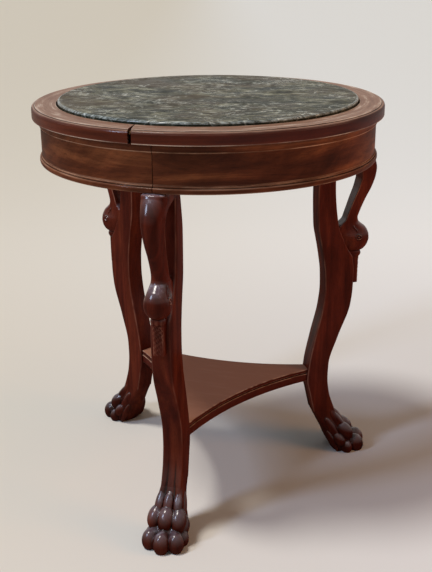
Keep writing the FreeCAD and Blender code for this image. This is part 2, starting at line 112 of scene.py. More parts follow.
def grid_normals(points):
    """Unit normals of a grid: the cross product of the step along the columns and that along the rows."""
    across = np.roll(points, -1, axis=1) - np.roll(points, 1, axis=1)
    along = np.gradient(points, axis=0)
    return unit(np.cross(across, along), 1e-12)[0]


def surface_turn(points, normals):
    """How sharply the surface turns, per metre: the change from one unit step to the next, divided by the
    step and taken along the normal, added up for rows and columns. Positive on an arris, negative in a
    hollow."""
    turn = np.zeros(points.shape[:2])
    padded = np.concatenate([2 * points[:1] - points[1:2], points, 2 * points[-1:] - points[-2:-1]])
    steps = [(np.roll(points, -1, axis=1) - points, points - np.roll(points, 1, axis=1)),
             (padded[2:] - points, points - padded[:-2])]
    for ahead, behind in steps:
        ahead, ahead_length = unit(ahead, 1e-7)
        behind, behind_length = unit(behind, 1e-7)
        bend = np.sum((ahead - behind) * normals, axis=-1)
        turn -= bend * 2 / (ahead_length + behind_length)[..., 0]
    return turn


print("grid tools ready")


# %% Faces of a closed grid
def signed_volume(points, faces):
    """Six times the volume inside a set of equal-sized faces, each taken as a fan of triangles."""
    corners = points[faces]
    first = corners[:, :1]
    return np.sum(first * np.cross(corners[:, 1:-1], corners[:, 2:]))


def close_grid(points, poles):
    """All places, the faces and their sense. Quads join neighbouring points, and the last column the first.
    Each end row is closed by one flat face, or by a fan of triangles round its middle if it is a pole. The
    sense is -1 where the faces had to be turned over so that the volume inside them is positive."""
    rows, columns = points.shape[:2]
    corner = np.arange(rows * columns).reshape(rows, columns)
    beside = np.roll(corner, -1, axis=1)
    quads = np.stack([corner[:-1], beside[:-1], beside[1:], corner[1:]], axis=-1).reshape(-1, 4)
    places = points.reshape(-1, 3)
    if poles:
        places = np.concatenate([places, points[:1].mean(axis=1), points[-1:].mean(axis=1)])
        low, high = np.full(columns, rows * columns), np.full(columns, rows * columns + 1)
        caps = np.concatenate([np.stack([beside[0], corner[0], low], axis=-1),
                               np.stack([corner[-1], beside[-1], high], axis=-1)])
    else:
        caps = np.stack([corner[0, ::-1], corner[-1]])
    sense = 1 if signed_volume(places, quads) + signed_volume(places, caps) > 0 else -1
    return places, [quads[:, ::sense], caps[:, ::sense]], sense


print("face tools ready")

# %% Build a closed piece
# Turn per metre at which an arris starts to be lightened by wear and painted highlight and is fully
# lightened, and a hollow starts to fill and is full
wear_and_glint_from, wear_and_glint_full = 170.0, 620.0
hollow_from, hollow_full = 60.0, 350.0
sharp_angle = math.radians(50)
# Materials by the name of their slot
finishes = {}


def fill_mesh(name, places, faces):
    """Mesh from whole arrays: all places, the corners of all faces in turn, and where each face starts."""
    mesh = bpy.data.meshes.new(name)
    mesh.vertices.add(len(places))
    mesh.vertices.foreach_set("co", places.ravel())
    loops = np.concatenate([face.ravel() for face in faces])
    sizes = np.concatenate([np.full(len(face), face.shape[1]) for face in faces])
    mesh.loops.add(len(loops))
    mesh.loops.foreach_set("vertex_index", loops)
    mesh.polygons.add(len(sizes))
    mesh.polygons.foreach_set("loop_start", np.concatenate([[0], np.cumsum(sizes)[:-1]]))
    mesh.update(calc_edges=True)
    mesh.validate()
    mesh.shade_smooth()
    mesh.set_sharp_from_angle(angle=sharp_angle)
    return mesh


def mark_mesh(mesh, points, sense, grain):
    """Attributes for the finishes: wear_and_glint and hollow are the turn, averaged over three columns, as a
    share of its range; wear_and_glint lightens arrises by rubbing and as painted highlight. Grain holds
    places whose third axis runs along the fibres."""
    turn = surface_turn(points, grid_normals(points) * sense)
    turn = (turn + np.roll(turn, 1, axis=1) + np.roll(turn, -1, axis=1)) / 3
    spare = len(mesh.vertices) - turn.size
    marks = {"wear_and_glint": (turn - wear_and_glint_from) / (wear_and_glint_full - wear_and_glint_from),
             "hollow": (-turn - hollow_from) / (hollow_full - hollow_from)}
    for mark, values in marks.items():
        layer = mesh.attributes.new(mark, "FLOAT", "POINT")
        layer.data.foreach_set("value", np.pad(np.clip(values, 0, 1).ravel(), (0, spare)))
    layer = mesh.attributes.new("grain", "FLOAT_VECTOR", "POINT")
    fibres = np.concatenate([grain.reshape(-1, 3), np.repeat(grain[-1:, 0], spare, axis=0)])
    layer.data.foreach_set("vector", fibres.ravel())


def build_piece(name, points, body, slot, nodes, grain, poles=False):
    """Finished piece over a grid, in the place of its CAD nodes, with the finish of its slot."""
    places, faces, sense = close_grid(points, poles)
    mesh = fill_mesh(name, places, faces)
    mark_mesh(mesh, points, sense, grain)
    piece = add_object(name, mesh)
    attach(piece, body)
    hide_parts(*nodes)
    mesh.materials.append(finishes[slot])
    print(name, len(places), "points")


# Radius of an arris that is fully lightened by wear and painted highlight
print("an arris of", round(1 / wear_and_glint_full / mm, 1), "mm radius is worn bare")

# %% [markdown]
# ## Node helpers
# A finish is a small network of nodes. Typing every link by hand hides the idea behind the plumbing, so a
# few helpers add one node each and return its output: noise, a stretched coordinate, a ramp of colours, a
# soft threshold, a blend and a product. Colours are written as they would be read off a screen and turned
# into linear light, because that is what the shader expects.


# %% Colours, links and nodes
def paint(red, green, blue):
    """Screen colour from 0 to 255 as linear light: a straight foot and a power of 2.4 above it."""
    screen = np.array([red, green, blue]) / 255
    linear = np.where(screen <= 0.04045, screen / 12.92, ((screen + 0.055) / 1.055) ** 2.4)
    return (*linear.tolist(), 1.0)


def feed(tree, node, inputs):
    """Give a node its inputs: another node's output is linked, a plain value is set."""
    for key, value in inputs.items():
        if isinstance(value, bpy.types.NodeSocket):
            tree.links.new(value, node.inputs[key])
        else:
            node.inputs[key].default_value = value


def add_node(tree, kind, inputs, **settings):
    """One shader node with its settings and its inputs."""
    node = tree.nodes.new("ShaderNode" + kind)
    for key, value in settings.items():
        setattr(node, key, value)
    feed(tree, node, inputs)
    return node


def new_finish(name):
    """Node tree and shader of a new material, which is kept under its name."""
    finishes[name] = bpy.data.materials.new(name)
    finishes[name].use_nodes = True
    tree = finishes[name].node_tree
    return tree, tree.nodes["Principled BSDF"]


print("mid grey in linear light:", [round(x, 3) for x in paint(128, 128, 128)])


# %% Patterns, blends and sums
def noise(tree, vector, scale, detail=3.0, roughness=0.5, distortion=0.0):
    """Cloudy values round 0.5, with scale waves in a metre."""
    inputs = {"Vector": vector, "Scale": scale, "Detail": detail, "Roughness": roughness,
              "Distortion": distortion}
    return add_node(tree, "TexNoise", inputs).outputs[0]


def stretch(tree, vector, scale, turn=(0, 0, 0)):
    """Coordinates turned and scaled: a small scale draws the pattern out along that axis."""
    return add_node(tree, "Mapping", {"Vector": vector, "Rotation": turn, "Scale": scale}).outputs[0]


def ramp(tree, value, stops):
    """Colour that runs through the stops (value, colour)."""
    node = add_node(tree, "ValToRGB", {"Fac": value})
    elements = node.color_ramp.elements
    while len(elements) < len(stops):
        elements.new(1.0)
    for element, (place, colour) in zip(elements, stops):
        element.position = place
        element.color = colour
    return node.outputs[0]


def threshold(tree, value, low, high, start=0.0, end=1.0):
    """S-shaped step from start to end as the value goes from low to high."""
    inputs = {"Value": value, "From Min": low, "From Max": high, "To Min": start, "To Max": end}
    return add_node(tree, "MapRange", inputs, interpolation_type="SMOOTHSTEP").outputs[0]


def blend(tree, factor, first, second, mode="MIX"):
    """First colour changed towards the second by the factor."""
    inputs = {0: factor, 6: first, 7: second}
    return add_node(tree, "Mix", inputs, data_type="RGBA", blend_type=mode).outputs[2]


def reckon(tree, operation, first, second):
    """One sum, product or other operation on two values."""
    return add_node(tree, "Math", {0: first, 1: second}, operation=operation).outputs[0]


def bumped(tree, height, strength, distance):
    """Normal tilted by the slope of a height."""
    return add_node(tree, "Bump", {"Strength": strength, "Distance": distance, "Height": height}).outputs[0]


print("pattern helpers ready")


# %% What a finish reads from its piece
def attribute(tree, name, output):
    """One of the attributes that mark_mesh left on the piece."""
    return add_node(tree, "Attribute", {}, attribute_name=name).outputs[output]


def object_place(tree):
    """Place in metres, the same for every piece because all sit at the origin."""
    return add_node(tree, "TexCoord", {}).outputs["Object"]


def facing_up(tree):
    """Upward part of the surface normal: 1 on a level top, 0 on an upright face."""
    normal = add_node(tree, "NewGeometry", {}).outputs["Normal"]
    return add_node(tree, "SeparateXYZ", {0: normal}).outputs[2]


print("reading helpers ready")

# %% [markdown]
# ## French-polished mahogany
# The wood is mahogany under many coats of shellac: long ribbons of darker and lighter red-brown, short open
# pores along the grain, slow mottle, pale wood where an arris is rubbed through, which also stands in as
# painted highlight, paler tops that are partly fading and partly painted sheen, and black wax in the hollows.
# An image texture would repeat and would need unwrapping. Noise stretched along the fibres needs neither:
# every piece carries a "grain" attribute whose third axis runs along its own fibres. Where carving turns up
# to the hand, the shellac is full and shines.

# %% Mahogany colour
pore_colour = paint(20, 5, 4)
# Dark of old wax in the hollows, also used as the painted shade low on the carving
wax_and_shade_colour = paint(12, 5, 4)
# Waves in a metre across the fibres, their share along the fibres, and the values between which a mark grows
ribbon_scale, ribbon_stops = 34, (0.30, 0.50, 0.72)
mottle_scale, mottle_draw, mottle_range = 24, 0.35, (0.3, 0.72)
pore_scale, pore_draw, pore_range, pore_share = 1500, 0.045, (0.56, 0.72), 0.5
# The fade mark is partly fading and partly painted sheen; the chafe mark is partly chafing and partly painted
# highlight
fade_and_sheen_range, chafe_and_glint_range = (0.25, 0.6), (0.52, 0.68)


def along_fibres(tree, grain, share):
    """Coordinates that draw a pattern out along the fibres."""
    return stretch(tree, grain, (1, 1, share))


def wood_colour(tree, grain, tones, figure, slant, mottle_share):
    """Ribbons along the fibres, shaded by a slower mottle that may run aslant, pricked with short pores."""
    ribbon = noise(tree, along_fibres(tree, grain, figure), ribbon_scale, 6, 0.62, 0.7)
    colour = ramp(tree, ribbon, tuple(zip(ribbon_stops, tones)))
    aslant = stretch(tree, grain, (1, 1, 1), (slant, 0, 0))
    mottle = noise(tree, along_fibres(tree, aslant, mottle_draw), mottle_scale, 4, 0.6, 1.0)
    shade = threshold(tree, mottle, *mottle_range, 1 - mottle_share, 1 + mottle_share)
    grey = add_node(tree, "CombineColor", {0: shade, 1: shade, 2: shade}).outputs[0]
    colour = blend(tree, 1.0, colour, grey, "MULTIPLY")
    pores = noise(tree, along_fibres(tree, grain, pore_draw), pore_scale, 2, 0.6)
    pore_mask = threshold(tree, pores, *pore_range, 0.0, pore_share)
    return blend(tree, pore_mask, colour, pore_colour), pore_mask


def fade_with_painted_sheen(tree, colour, scuff, fade_and_sheen_colour, chafe_and_glint_colour, facing, share):
    """What faces up is made paler, more in some streaks than in others, and paler still in a few: partly from
    fading, dust and chafing, and partly as painted sheen, painted highlight and painted light. Facing holds
    the upward parts of the normal at which this starts and is full."""
    upward = threshold(tree, facing_up(tree), *facing)
    fade_and_sheen_mask = reckon(tree, "MULTIPLY", upward, threshold(tree, scuff, *fade_and_sheen_range, share * 0.55, share))
    colour = blend(tree, fade_and_sheen_mask, colour, fade_and_sheen_colour)
    chafe_and_glint_mask = reckon(tree, "MULTIPLY", upward, threshold(tree, scuff, *chafe_and_glint_range, 0.0, share * 0.8))
    return blend(tree, chafe_and_glint_mask, colour, chafe_and_glint_colour), fade_and_sheen_mask


print("wood of", len(ribbon_stops), "tones")

# %% Mahogany finish
scuff_scale, scuff_draw, rub_and_glint_range = 95, 0.12, (0.38, 0.62)
haze_scale, haze_range, dull_haze = 14, (0.3, 0.75), 0.2
ripple_scale, ripple_draw, pore_dip = 26, 0.3, -0.12
wood_bump, bump_reach = 0.22, 0.9 * mm
wax_share = 0.8


def mahogany(name, tones, worn_and_glint_colour, wear_and_glint_share, fade_and_sheen_colour, chafe_and_glint_colour, facing, fade_and_sheen_share, roughness, coat,
             figure=0.07, slant=0.0, mottle_share=0.22):
    """Wood under shellac: what faces up is paler, partly from fading and partly as painted sheen, the arrises
    are lightened by rubbing and painted highlight, and wax darkens the hollows.
    Roughness drifts slowly, and pores and the hand of the polisher show as a faint bump under a clear coat,
    given as its weight and its roughness."""
    tree, shader = new_finish(name)
    grain = attribute(tree, "grain", "Vector")
    colour, pore_mask = wood_colour(tree, grain, tones, figure, slant, mottle_share)
    scuff = noise(tree, along_fibres(tree, grain, scuff_draw), scuff_scale, 5, 0.65)
    colour, dulled = fade_with_painted_sheen(tree, colour, scuff, fade_and_sheen_colour, chafe_and_glint_colour, facing, fade_and_sheen_share)
    # Arrises are lightened partly by wear and partly as painted highlight
    rub_and_glint_mask = reckon(tree, "MULTIPLY", attribute(tree, "wear_and_glint", "Fac"),
                    threshold(tree, scuff, *rub_and_glint_range, 0.15 * wear_and_glint_share, wear_and_glint_share))
    colour = blend(tree, rub_and_glint_mask, colour, worn_and_glint_colour)
    waxed = reckon(tree, "MULTIPLY", attribute(tree, "hollow", "Fac"), wax_share)
    haze = noise(tree, grain, haze_scale, 4, 0.6)
    haze = threshold(tree, haze, *haze_range, roughness * 0.8, roughness * 1.35)
    ripples = noise(tree, along_fibres(tree, grain, ripple_draw), ripple_scale, 2)
    height = reckon(tree, "ADD", ripples, reckon(tree, "MULTIPLY", pore_mask, pore_dip))
    feed(tree, shader, {
        "Base Color": blend(tree, waxed, colour, wax_and_shade_colour),
        "Roughness": reckon(tree, "ADD", haze, reckon(tree, "MULTIPLY", dulled, dull_haze)),
        "Normal": bumped(tree, height, wood_bump, bump_reach),
        "Specular IOR Level": 0.0,
        "Coat Weight": coat[0],
        "Coat Roughness": coat[1],
    })


# Paler tops are partly fading and partly painted sheen; the worn colour on arrises is wear and painted
# highlight
mahogany(
    "polished_mahogany", tones=(paint(58, 27, 15), paint(84, 42, 24), paint(120, 68, 40)),
    worn_and_glint_colour=paint(190, 146, 118), wear_and_glint_share=0.8, fade_and_sheen_colour=paint(120, 84, 66), chafe_and_glint_colour=paint(160, 130, 112),
    facing=(0.5, 0.97), fade_and_sheen_share=0.6, roughness=0.26, coat=(0.12, 0.14),
    figure=0.16, slant=0.6, mottle_share=0.26)
# The rim's pale top is partly faded wood and partly painted sheen
mahogany(
    "rim_mahogany", tones=(paint(52, 17, 9), paint(76, 29, 16), paint(106, 49, 30)),
    worn_and_glint_colour=paint(222, 194, 174), wear_and_glint_share=0.85, fade_and_sheen_colour=paint(154, 118, 98), chafe_and_glint_colour=paint(206, 182, 164),
    facing=(0.75, 0.97), fade_and_sheen_share=1.0, roughness=0.28, coat=(0.26, 0.16))
# The shelf's pale top colour is raised as painted light, because the shelf lies in the table's shadow
mahogany(
    "shelf_mahogany", tones=(paint(66, 24, 17), paint(74, 28, 20), paint(84, 34, 24)),
    worn_and_glint_colour=paint(196, 160, 138), wear_and_glint_share=0.7, fade_and_sheen_colour=paint(156, 110, 88), chafe_and_glint_colour=paint(160, 114, 92),
    facing=(0.75, 0.97), fade_and_sheen_share=1.8, roughness=0.42, coat=(0.05, 0.25), mottle_share=0.08)
print("finishes:", list(finishes))

# %% Carved mahogany
thin_coat, full_coat, coat_range = 0.06, 0.85, (0.05, 0.6)
# Height above the floor below which the carving is darkened as painted shade, and its share at the floor
low_shade_height, low_shade_share = 0.16, 0.4


def handle_carving(name):
    """Carving is waxed and handled: the coat is thin on upright faces and full where they turn up to the
    hand, and the colour is darkened towards the floor as painted shade."""
    tree = finishes[name].node_tree
    shader = tree.nodes["Principled BSDF"]
    height = add_node(tree, "SeparateXYZ", {0: object_place(tree)}).outputs[2]
    # Painted shade: the colour darkens towards the floor
    painted_low_shade = threshold(tree, height, 0.0, low_shade_height, low_shade_share, 0.0)
    colour_before_low_shade = shader.inputs["Base Color"].links[0].from_socket
    feed(tree, shader, {
        "Base Color": blend(tree, painted_low_shade, colour_before_low_shade, wax_and_shade_colour),
        "Coat Weight": threshold(tree, facing_up(tree), *coat_range, thin_coat, full_coat),
    })


# On the carving the pale bluish top colours are painted sheen and painted highlight, and the worn colour is
# wear and painted highlight
mahogany(
    "carved_mahogany", tones=(paint(53, 19, 13), paint(79, 29, 19), paint(106, 46, 28)),
    worn_and_glint_colour=paint(190, 132, 110), wear_and_glint_share=0.55, fade_and_sheen_colour=paint(128, 120, 134), chafe_and_glint_colour=paint(214, 214, 230),
    facing=(0.34, 1.0), fade_and_sheen_share=0.55, roughness=0.34, coat=(thin_coat, 0.2))
handle_carving("carved_mahogany")
print("carving coat from", thin_coat, "to", full_coat)

# %% [markdown]
# ## Green marble
# The slab is a dark serpentine: nearly black green, clouded with grey-green and brown, with broken white
# veins and short pale flecks that lie in one direction. Layers of noise give the clouds, the tints and the
# The veins are the borders between the cells of a Voronoi pattern whose coordinates are pushed about
# by noise, so that they wander, and a second noise rubs them out in places. The edge is darker where the
# surface turns away from up, and the arris is pale and broken, partly as rubbed stone and partly as
# painted highlight.

# %% Colours and clouds of the stone
vein_turn = math.radians(-17)
cloud_stops = ((0.39, paint(7, 11, 6)), (0.46, paint(38, 39, 25)), (0.53, paint(80, 77, 56)),
               (0.61, paint(150, 148, 128)))
dark_patch, brown_tint = paint(24, 30, 22), paint(76, 56, 34)
pale_fleck, white_vein = paint(212, 212, 198), paint(206, 208, 196)
# Darker colour of the edge, and pale colour of the arris, which is partly rubbed stone and partly painted
# highlight
darker_edge_colour, rubbed_edge_and_highlight = paint(30, 36, 30), paint(196, 208, 208)
# Waves in a metre, the values between which a mark grows, and its share of the colour
cloud_scale, cloud_draw = 36, (0.7, 1, 1)
patch_scale, patch_range, patch_share = 7, (0.46, 0.62), 0.75
tint_scale, tint_range, tint_share = 5.5, (0.44, 0.6), 0.55
drift_scale, drift_reach = 11.0, 0.09
cell_scale, vein_width = 17.0, 0.035
break_scale, break_range, break_share = 24, (0.5, 0.66), 0.6


def stone_ground(tree, along):
    """Clouds from noise, darkened in slow patches and tinted brown in others."""
    clouds = noise(tree, stretch(tree, along, cloud_draw), cloud_scale, 10, 0.78, 0.8)
    patches = threshold(tree, noise(tree, along, patch_scale, 5, 0.6, 0.5), *patch_range, 0.0, patch_share)
    tint = threshold(tree, noise(tree, along, tint_scale, 4, 0.55), *tint_range, 0.0, tint_share)
    colour = blend(tree, patches, ramp(tree, clouds, cloud_stops), dark_patch)
    return blend(tree, tint, colour, brown_tint)


def stone_veins(tree, along):
    """Strength of the veins: borders of cells at places pushed about by noise, broken by another noise."""
    drift = add_node(tree, "TexNoise", {"Vector": along, "Scale": drift_scale, "Detail": 4.0})
    pushed = add_node(tree, "VectorMath", {0: drift.outputs["Color"], 1: (drift_reach,) * 3, 2: along},
                      operation="MULTIPLY_ADD").outputs[0]
    cells = add_node(tree, "TexVoronoi", {"Vector": pushed, "Scale": cell_scale}, feature="DISTANCE_TO_EDGE")
    veins = threshold(tree, cells.outputs["Distance"], 0.0, vein_width, 1.0, 0.0)
    broken = threshold(tree, noise(tree, along, break_scale, 3), *break_range, 0.0, break_share)
    return reckon(tree, "MULTIPLY", veins, broken)


print("flecks lie at", round(math.degrees(vein_turn)), "degrees")

# %% Marble finish
fleck_scale, fleck_draw, fleck_range = 150, (0.35, 1, 1), (0.54, 0.6)
crowd_scale, crowd_range, crowd_shares = 13, (0.42, 0.6), (0.1, 0.95)
edge_range, edge_share = (0.1, 0.7), 0.7
# Wear at which the arris is full, and the range and shares of its pale rub, which is also painted highlight
arris_full, arris_range, rub_and_highlight_shares = 0.2, (0.42, 0.56), (0.05, 0.4)
stone_polish, stone_coat = (0.2, 0.36), (0.03, 0.4)


def green_marble_finish():
    """Ground, then flecks from stretched noise that crowd in places, veins, an edge darkened where it turns
    away from up, and a pale arris that is partly stone rubbing and partly painted highlight.
    """
    tree, shader = new_finish("green_marble")
    place = object_place(tree)
    along = stretch(tree, place, (1, 1.3, 1), (0, 0, vein_turn))
    flecks = noise(tree, stretch(tree, along, fleck_draw), fleck_scale, 5, 0.78, 0.4)
    crowded = threshold(tree, noise(tree, along, crowd_scale, 4, 0.6, 0.6), *crowd_range, *crowd_shares)
    scattered = reckon(tree, "MULTIPLY", threshold(tree, flecks, *fleck_range), crowded)
    colour = blend(tree, scattered, stone_ground(tree, along), pale_fleck)
    colour = blend(tree, stone_veins(tree, along), colour, white_vein)
    # Darker where the surface turns away from up
    edge_darkening = threshold(tree, facing_up(tree), *edge_range, edge_share, 0.0)
    colour = blend(tree, edge_darkening, colour, darker_edge_colour)
    arris = threshold(tree, attribute(tree, "wear_and_glint", "Fac"), 0.0, arris_full)
    # The pale arris is partly rubbed stone and partly painted highlight
    rub_and_glint_mask = reckon(tree, "MULTIPLY", arris, threshold(tree, flecks, *arris_range, *rub_and_highlight_shares))
    feed(tree, shader, {
        "Base Color": blend(tree, rub_and_glint_mask, colour, rubbed_edge_and_highlight),
        "Roughness": threshold(tree, noise(tree, place, 22, 4), 0.3, 0.7, *stone_polish),
        "Normal": bumped(tree, noise(tree, along, 60, 4), 0.15, 0.6 * mm),
        "Specular IOR Level": 0.01,
        "Coat Weight": threshold(tree, arris, 0.0, 1.0, *stone_coat),
        "Coat Roughness": 0.1,
    })


green_marble_finish()
print("finishes:", list(finishes))

# %% [markdown]
# ## The stone slab
# The slab is turned, with a rounded upper arris that a century of use has nicked. A lathe profile spun round
# the axis is the natural way to make it. The radius of the arris changes a little from place to place, as a
# sum of sines with seeded phases, so its highlight breaks up as it does on the real stone.

# %% Ripples and places round the axis
chance = np.random.default_rng(7)


def ripple(angle, waves, most):
    """Sum of sines with whole wave counts round a circle, seeded phases and sizes that fall with them."""
    counts = chance.integers(5, most, waves)
    phases = chance.uniform(0, 2 * np.pi, waves)
    sizes = 1 / np.sqrt(counts)
    return np.sin(angle[:, None] * counts + phases) @ sizes / sizes.sum()


def round_axis(outward, across, height, azimuth):
    """Points turned about the table's axis from the front: x is outwards times the sine of the azimuth plus
    across times its cosine, y is across times the sine less outwards times the cosine."""
    x = outward * np.sin(azimuth) + across * np.cos(azimuth)
    y = across * np.sin(azimuth) - outward * np.cos(azimuth)
    return np.stack([x, y, height + 0 * x], axis=-1)


print("a point at the front:", round_axis(1.0, 0.0, 0.0, 0.0).round(3).tolist())

# %% Turn the stone
stone_low, stone_high = (np.array(corner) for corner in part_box("marble_top"))
stone_radius, stone_foot, stone_head = stone_high[0], stone_low[2], stone_high[2]
stone_columns, arris_rows = 720, 9
stone_arris, arris_sway = 4.0 * mm, 0.12
nick_depth, nick_from = 1.2 * mm, 0.16
level_margin, foot_bevel = 7.0 * mm, 1.0 * mm
top_shares = (0.02, 0.25, 0.5, 0.7, 0.85, 0.93, 1.0)
foot_shares = (0.6, 0.02)


def turn_stone():
    """Rows go from the middle of the top over the rounded arris and down the edge to the middle of the foot.
    Each arris point is its corner plus the arris radius, less the depth of the nicks, times a direction that
    swings from up to outwards."""
    angle = np.linspace(0, 2 * np.pi, stone_columns, endpoint=False)
    arris = stone_arris * (1 + arris_sway * ripple(angle, 30, 160))
    nick = nick_depth * np.clip(ripple(angle, 40, 260) - nick_from, 0, 1)
    swing = np.linspace(0, np.pi / 2, arris_rows)[:, None]
    edge_radius = stone_radius - arris + (arris - nick) * np.sin(swing)
    edge_height = stone_head - arris + (arris - nick) * np.cos(swing)
    top_radius = (stone_radius - level_margin) * np.array(top_shares)[:, None] + 0 * angle
    inner_foot = [stone_radius * share for share in foot_shares]
    foot_radius = np.array([stone_radius, stone_radius - foot_bevel, *inner_foot])[:, None] + 0 * angle
    foot_height = stone_foot + np.array([foot_bevel, 0, 0, 0])[:, None] + 0 * angle
    radius = np.concatenate([top_radius, edge_radius, foot_radius])
    height = np.concatenate([0 * top_radius + stone_head, edge_height, foot_height])
    return round_axis(radius, 0, height, angle)


stone_points = turn_stone()
build_piece("Marble_slab", stone_points, "marble", "green_marble", ["marble_top"], stone_points, True)

# %% [markdown]
# ## Rim, cove, apron and bead
# These are mouldings: one profile carried round an arc. On the real table each ring is sawn in three
# segments that butt together, and the joints have opened with age, widest at the front left of the rim. A
# profile is a list of corners, each softened by its own radius; it is then cut into short steps, so that the
# wear and the wax can change from arris to face. Where a joint runs askew, each profile point starts and
# ends at its own azimuth.

# %% Profile and sweep
corner_steps = 7
least_share = 0.12


def soften(corners):
    """Closed profile from corners (radius, height, softness before, softness after): each corner becomes a
    parabola from the point that far before it to the point that far after it."""
    corners = np.array(corners, dtype=float) * mm
    place, before, after = corners[:, :2], corners[:, 2:3], corners[:, 3:4]
    start = place + unit(np.roll(place, 1, axis=0) - place, 1e-9)[0] * before
    end = place + unit(np.roll(place, -1, axis=0) - place, 1e-9)[0] * after
    share = np.linspace(0, 1, corner_steps)[None, :, None]
    curve = start[:, None] * (1 - share) ** 2 + place[:, None] * 2 * share * (1 - share)
    return (curve + end[:, None] * share ** 2).reshape(-1, 2)


def fine_steps(profile, spacing):
    """The same closed profile cut into equal steps along its length, with its own points kept, except those
    that fall within a small share of a step of the one before."""
    closed = np.concatenate([profile, profile[:1]])
    length = np.concatenate([[0], np.cumsum(np.linalg.norm(np.diff(closed, axis=0), axis=1))])
    even = np.linspace(0, length[-1], int(length[-1] / spacing), endpoint=False)
    places = np.unique(np.round(np.concatenate([length[:-1], even]), 7))
    places = places[np.concatenate([[True], np.diff(places) > spacing * least_share])]
    return np.stack([np.interp(places, length, closed[:, k]) for k in (0, 1)], axis=1)


def joint_azimuth(radius, azimuth, skew, face, bore, opening, side):
    """Azimuth of one cheek of a joint at each radius: the joint's own azimuth less its skew on the way in,
    plus or minus half the opening, which narrows from face to bore."""
    depth = (face - radius) / (face - bore)
    half = (opening[0] + (opening[1] - opening[0]) * depth) / 2
    return np.radians(azimuth - skew * depth) + side * half / radius


def sweep(profile, start, end, spacing):
    """Rows step from the start to the end azimuth of every profile point; columns follow the profile. The
    fibres run round the ring."""
    radius, height = profile[:, 0], profile[:, 1]
    count = int(np.max(end - start) * radius.max() / spacing)
    share = np.linspace(0, 1, count + 1)[:, None]
    angle = start + (end - start) * share
    grain = np.stack([radius + 0 * angle, height + 0 * angle, radius.mean() * angle], axis=-1)
    return round_axis(radius, 0, height, angle), grain


print("a softened corner has", corner_steps, "points")

# %% Ring segments
segment_names = ("right", "back", "left")
third_turn = 120
joint_tight = (0.3 * mm, 0.3 * mm)
profile_step = 1.1 * mm
sweep_step = 4.0 * mm


def ring_segments(title, node, corners, azimuth, skew, face, bore, opening, slot):
    """Three segments of one moulding between joints a third of a turn apart, the first of them open."""
    profile = fine_steps(soften(corners), profile_step)
    openings = (opening, joint_tight, joint_tight, opening)
    joint = (skew, face * mm, bore * mm)
    for k, side in enumerate(segment_names):
        start = joint_azimuth(profile[:, 0], azimuth + third_turn * k, *joint, openings[k], 1)
        end = joint_azimuth(profile[:, 0], azimuth + third_turn * (k + 1), *joint, openings[k + 1], -1)
        points, grain = sweep(profile, start, end, sweep_step)
        build_piece(title + "_" + side, points, "table", slot, [node + "_" + side], grain)


def node_box(name):
    """Lowest and highest corner of a CAD node, in millimetres."""
    return [np.array(corner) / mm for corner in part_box(name)]


print("joints stand", third_turn, "degrees apart")

# %% Rim
rim_low, rim_high = node_box("rim_right")
rim_face, rim_foot, rim_head = rim_high[0], rim_low[2], rim_high[2]
rim_width, rebate_width = 42.0, 7.3
rim_round, rim_step = 6.0, 1.2
rim_bore = rim_face - rim_width
board_rebate = rim_bore + rebate_width
rim_seat = stone_foot / mm
rim_corners = [
    (rim_bore, rim_head, 1.5, 1.5),
    (rim_face - rim_round, rim_head, 0.7, 0.5),
    (rim_face - rim_round, rim_head - rim_step, 0.4, 0.4),
    (rim_face, rim_head - rim_step, 5.6, rim_round),
    (rim_face, rim_foot, 1.5, 1.5),
    (board_rebate, rim_foot, 0.5, 0.5),
    (board_rebate, rim_seat, 0.5, 0.5),
    (rim_bore, rim_seat, 0.5, 0.5),
]
ring_segments("Rim", "rim", rim_corners, azimuth=-5.7, skew=2.5, face=rim_face, bore=rim_bore,
              opening=(6.0 * mm, 1.0 * mm), slot="rim_mahogany")

# %% Cove, apron and bead
cove_low, cove_high = node_box("cove_moulding_right")
bead_low, bead_high = node_box("bead_moulding_right")
apron_face = node_box("apron_right")[1][0]
apron_thickness, moulding_rebate = 22.0, 6.0
apron_inside = apron_face - apron_thickness
core_face = apron_face - moulding_rebate
cove_fillet, cove_lip = 2.0, 0.4
cove_rise = cove_high[2] - cove_low[2] - cove_fillet
cove_run = cove_high[0] - apron_face - cove_fillet - cove_lip
cove_corners = [
    (cove_high[0], cove_high[2], 0.1, 0.3),
    (core_face, cove_high[2], 0.3, 0.3),
    (core_face, cove_low[2], 0.3, 0.3),
    (apron_face + cove_fillet, cove_low[2], 0.6, 0.6),
    (apron_face + cove_fillet, cove_high[2], cove_rise, cove_run),
]
bead_fillet, bead_groove, bead_proud = 2.5, 1.0, 1.3
bead_shoulder = apron_face + bead_proud
bead_neck = bead_high[2] - bead_fillet
bead_top = bead_neck - bead_groove
bead_corners = [
    (core_face, bead_low[2], 0.3, 0.3),
    (bead_high[0], bead_low[2], 2.2, 3.8),
    (bead_high[0], bead_top, 3.8, 2.2),
    (apron_face, bead_top, 0.3, 0.3),
    (apron_face, bead_neck, 0.3, 0.3),
    (bead_shoulder, bead_neck, 0.5, 0.6),
    (bead_shoulder, bead_high[2], 0.6, 0.5),
    (core_face, bead_high[2], 0.3, 0.3),
]
apron_softness = (0.4, 0.4)
apron_corners = [corner + apron_softness for corner in (
    (apron_face, bead_high[2]), (apron_face, cove_low[2]), (core_face, cove_low[2]),
    (core_face, cove_high[2]), (apron_inside, cove_high[2]), (apron_inside, bead_low[2]),
    (core_face, bead_low[2]), (core_face, bead_high[2]),
)]
mouldings = {"Cove": ("cove_moulding", cove_corners), "Apron": ("apron", apron_corners),
             "Bead": ("bead_moulding", bead_corners)}
for title, (node, corners) in mouldings.items():
    ring_segments(title, node, corners, azimuth=0.0, skew=0.0, face=apron_face, bore=apron_inside,
                  opening=(1.2 * mm, 1.2 * mm), slot="polished_mahogany")

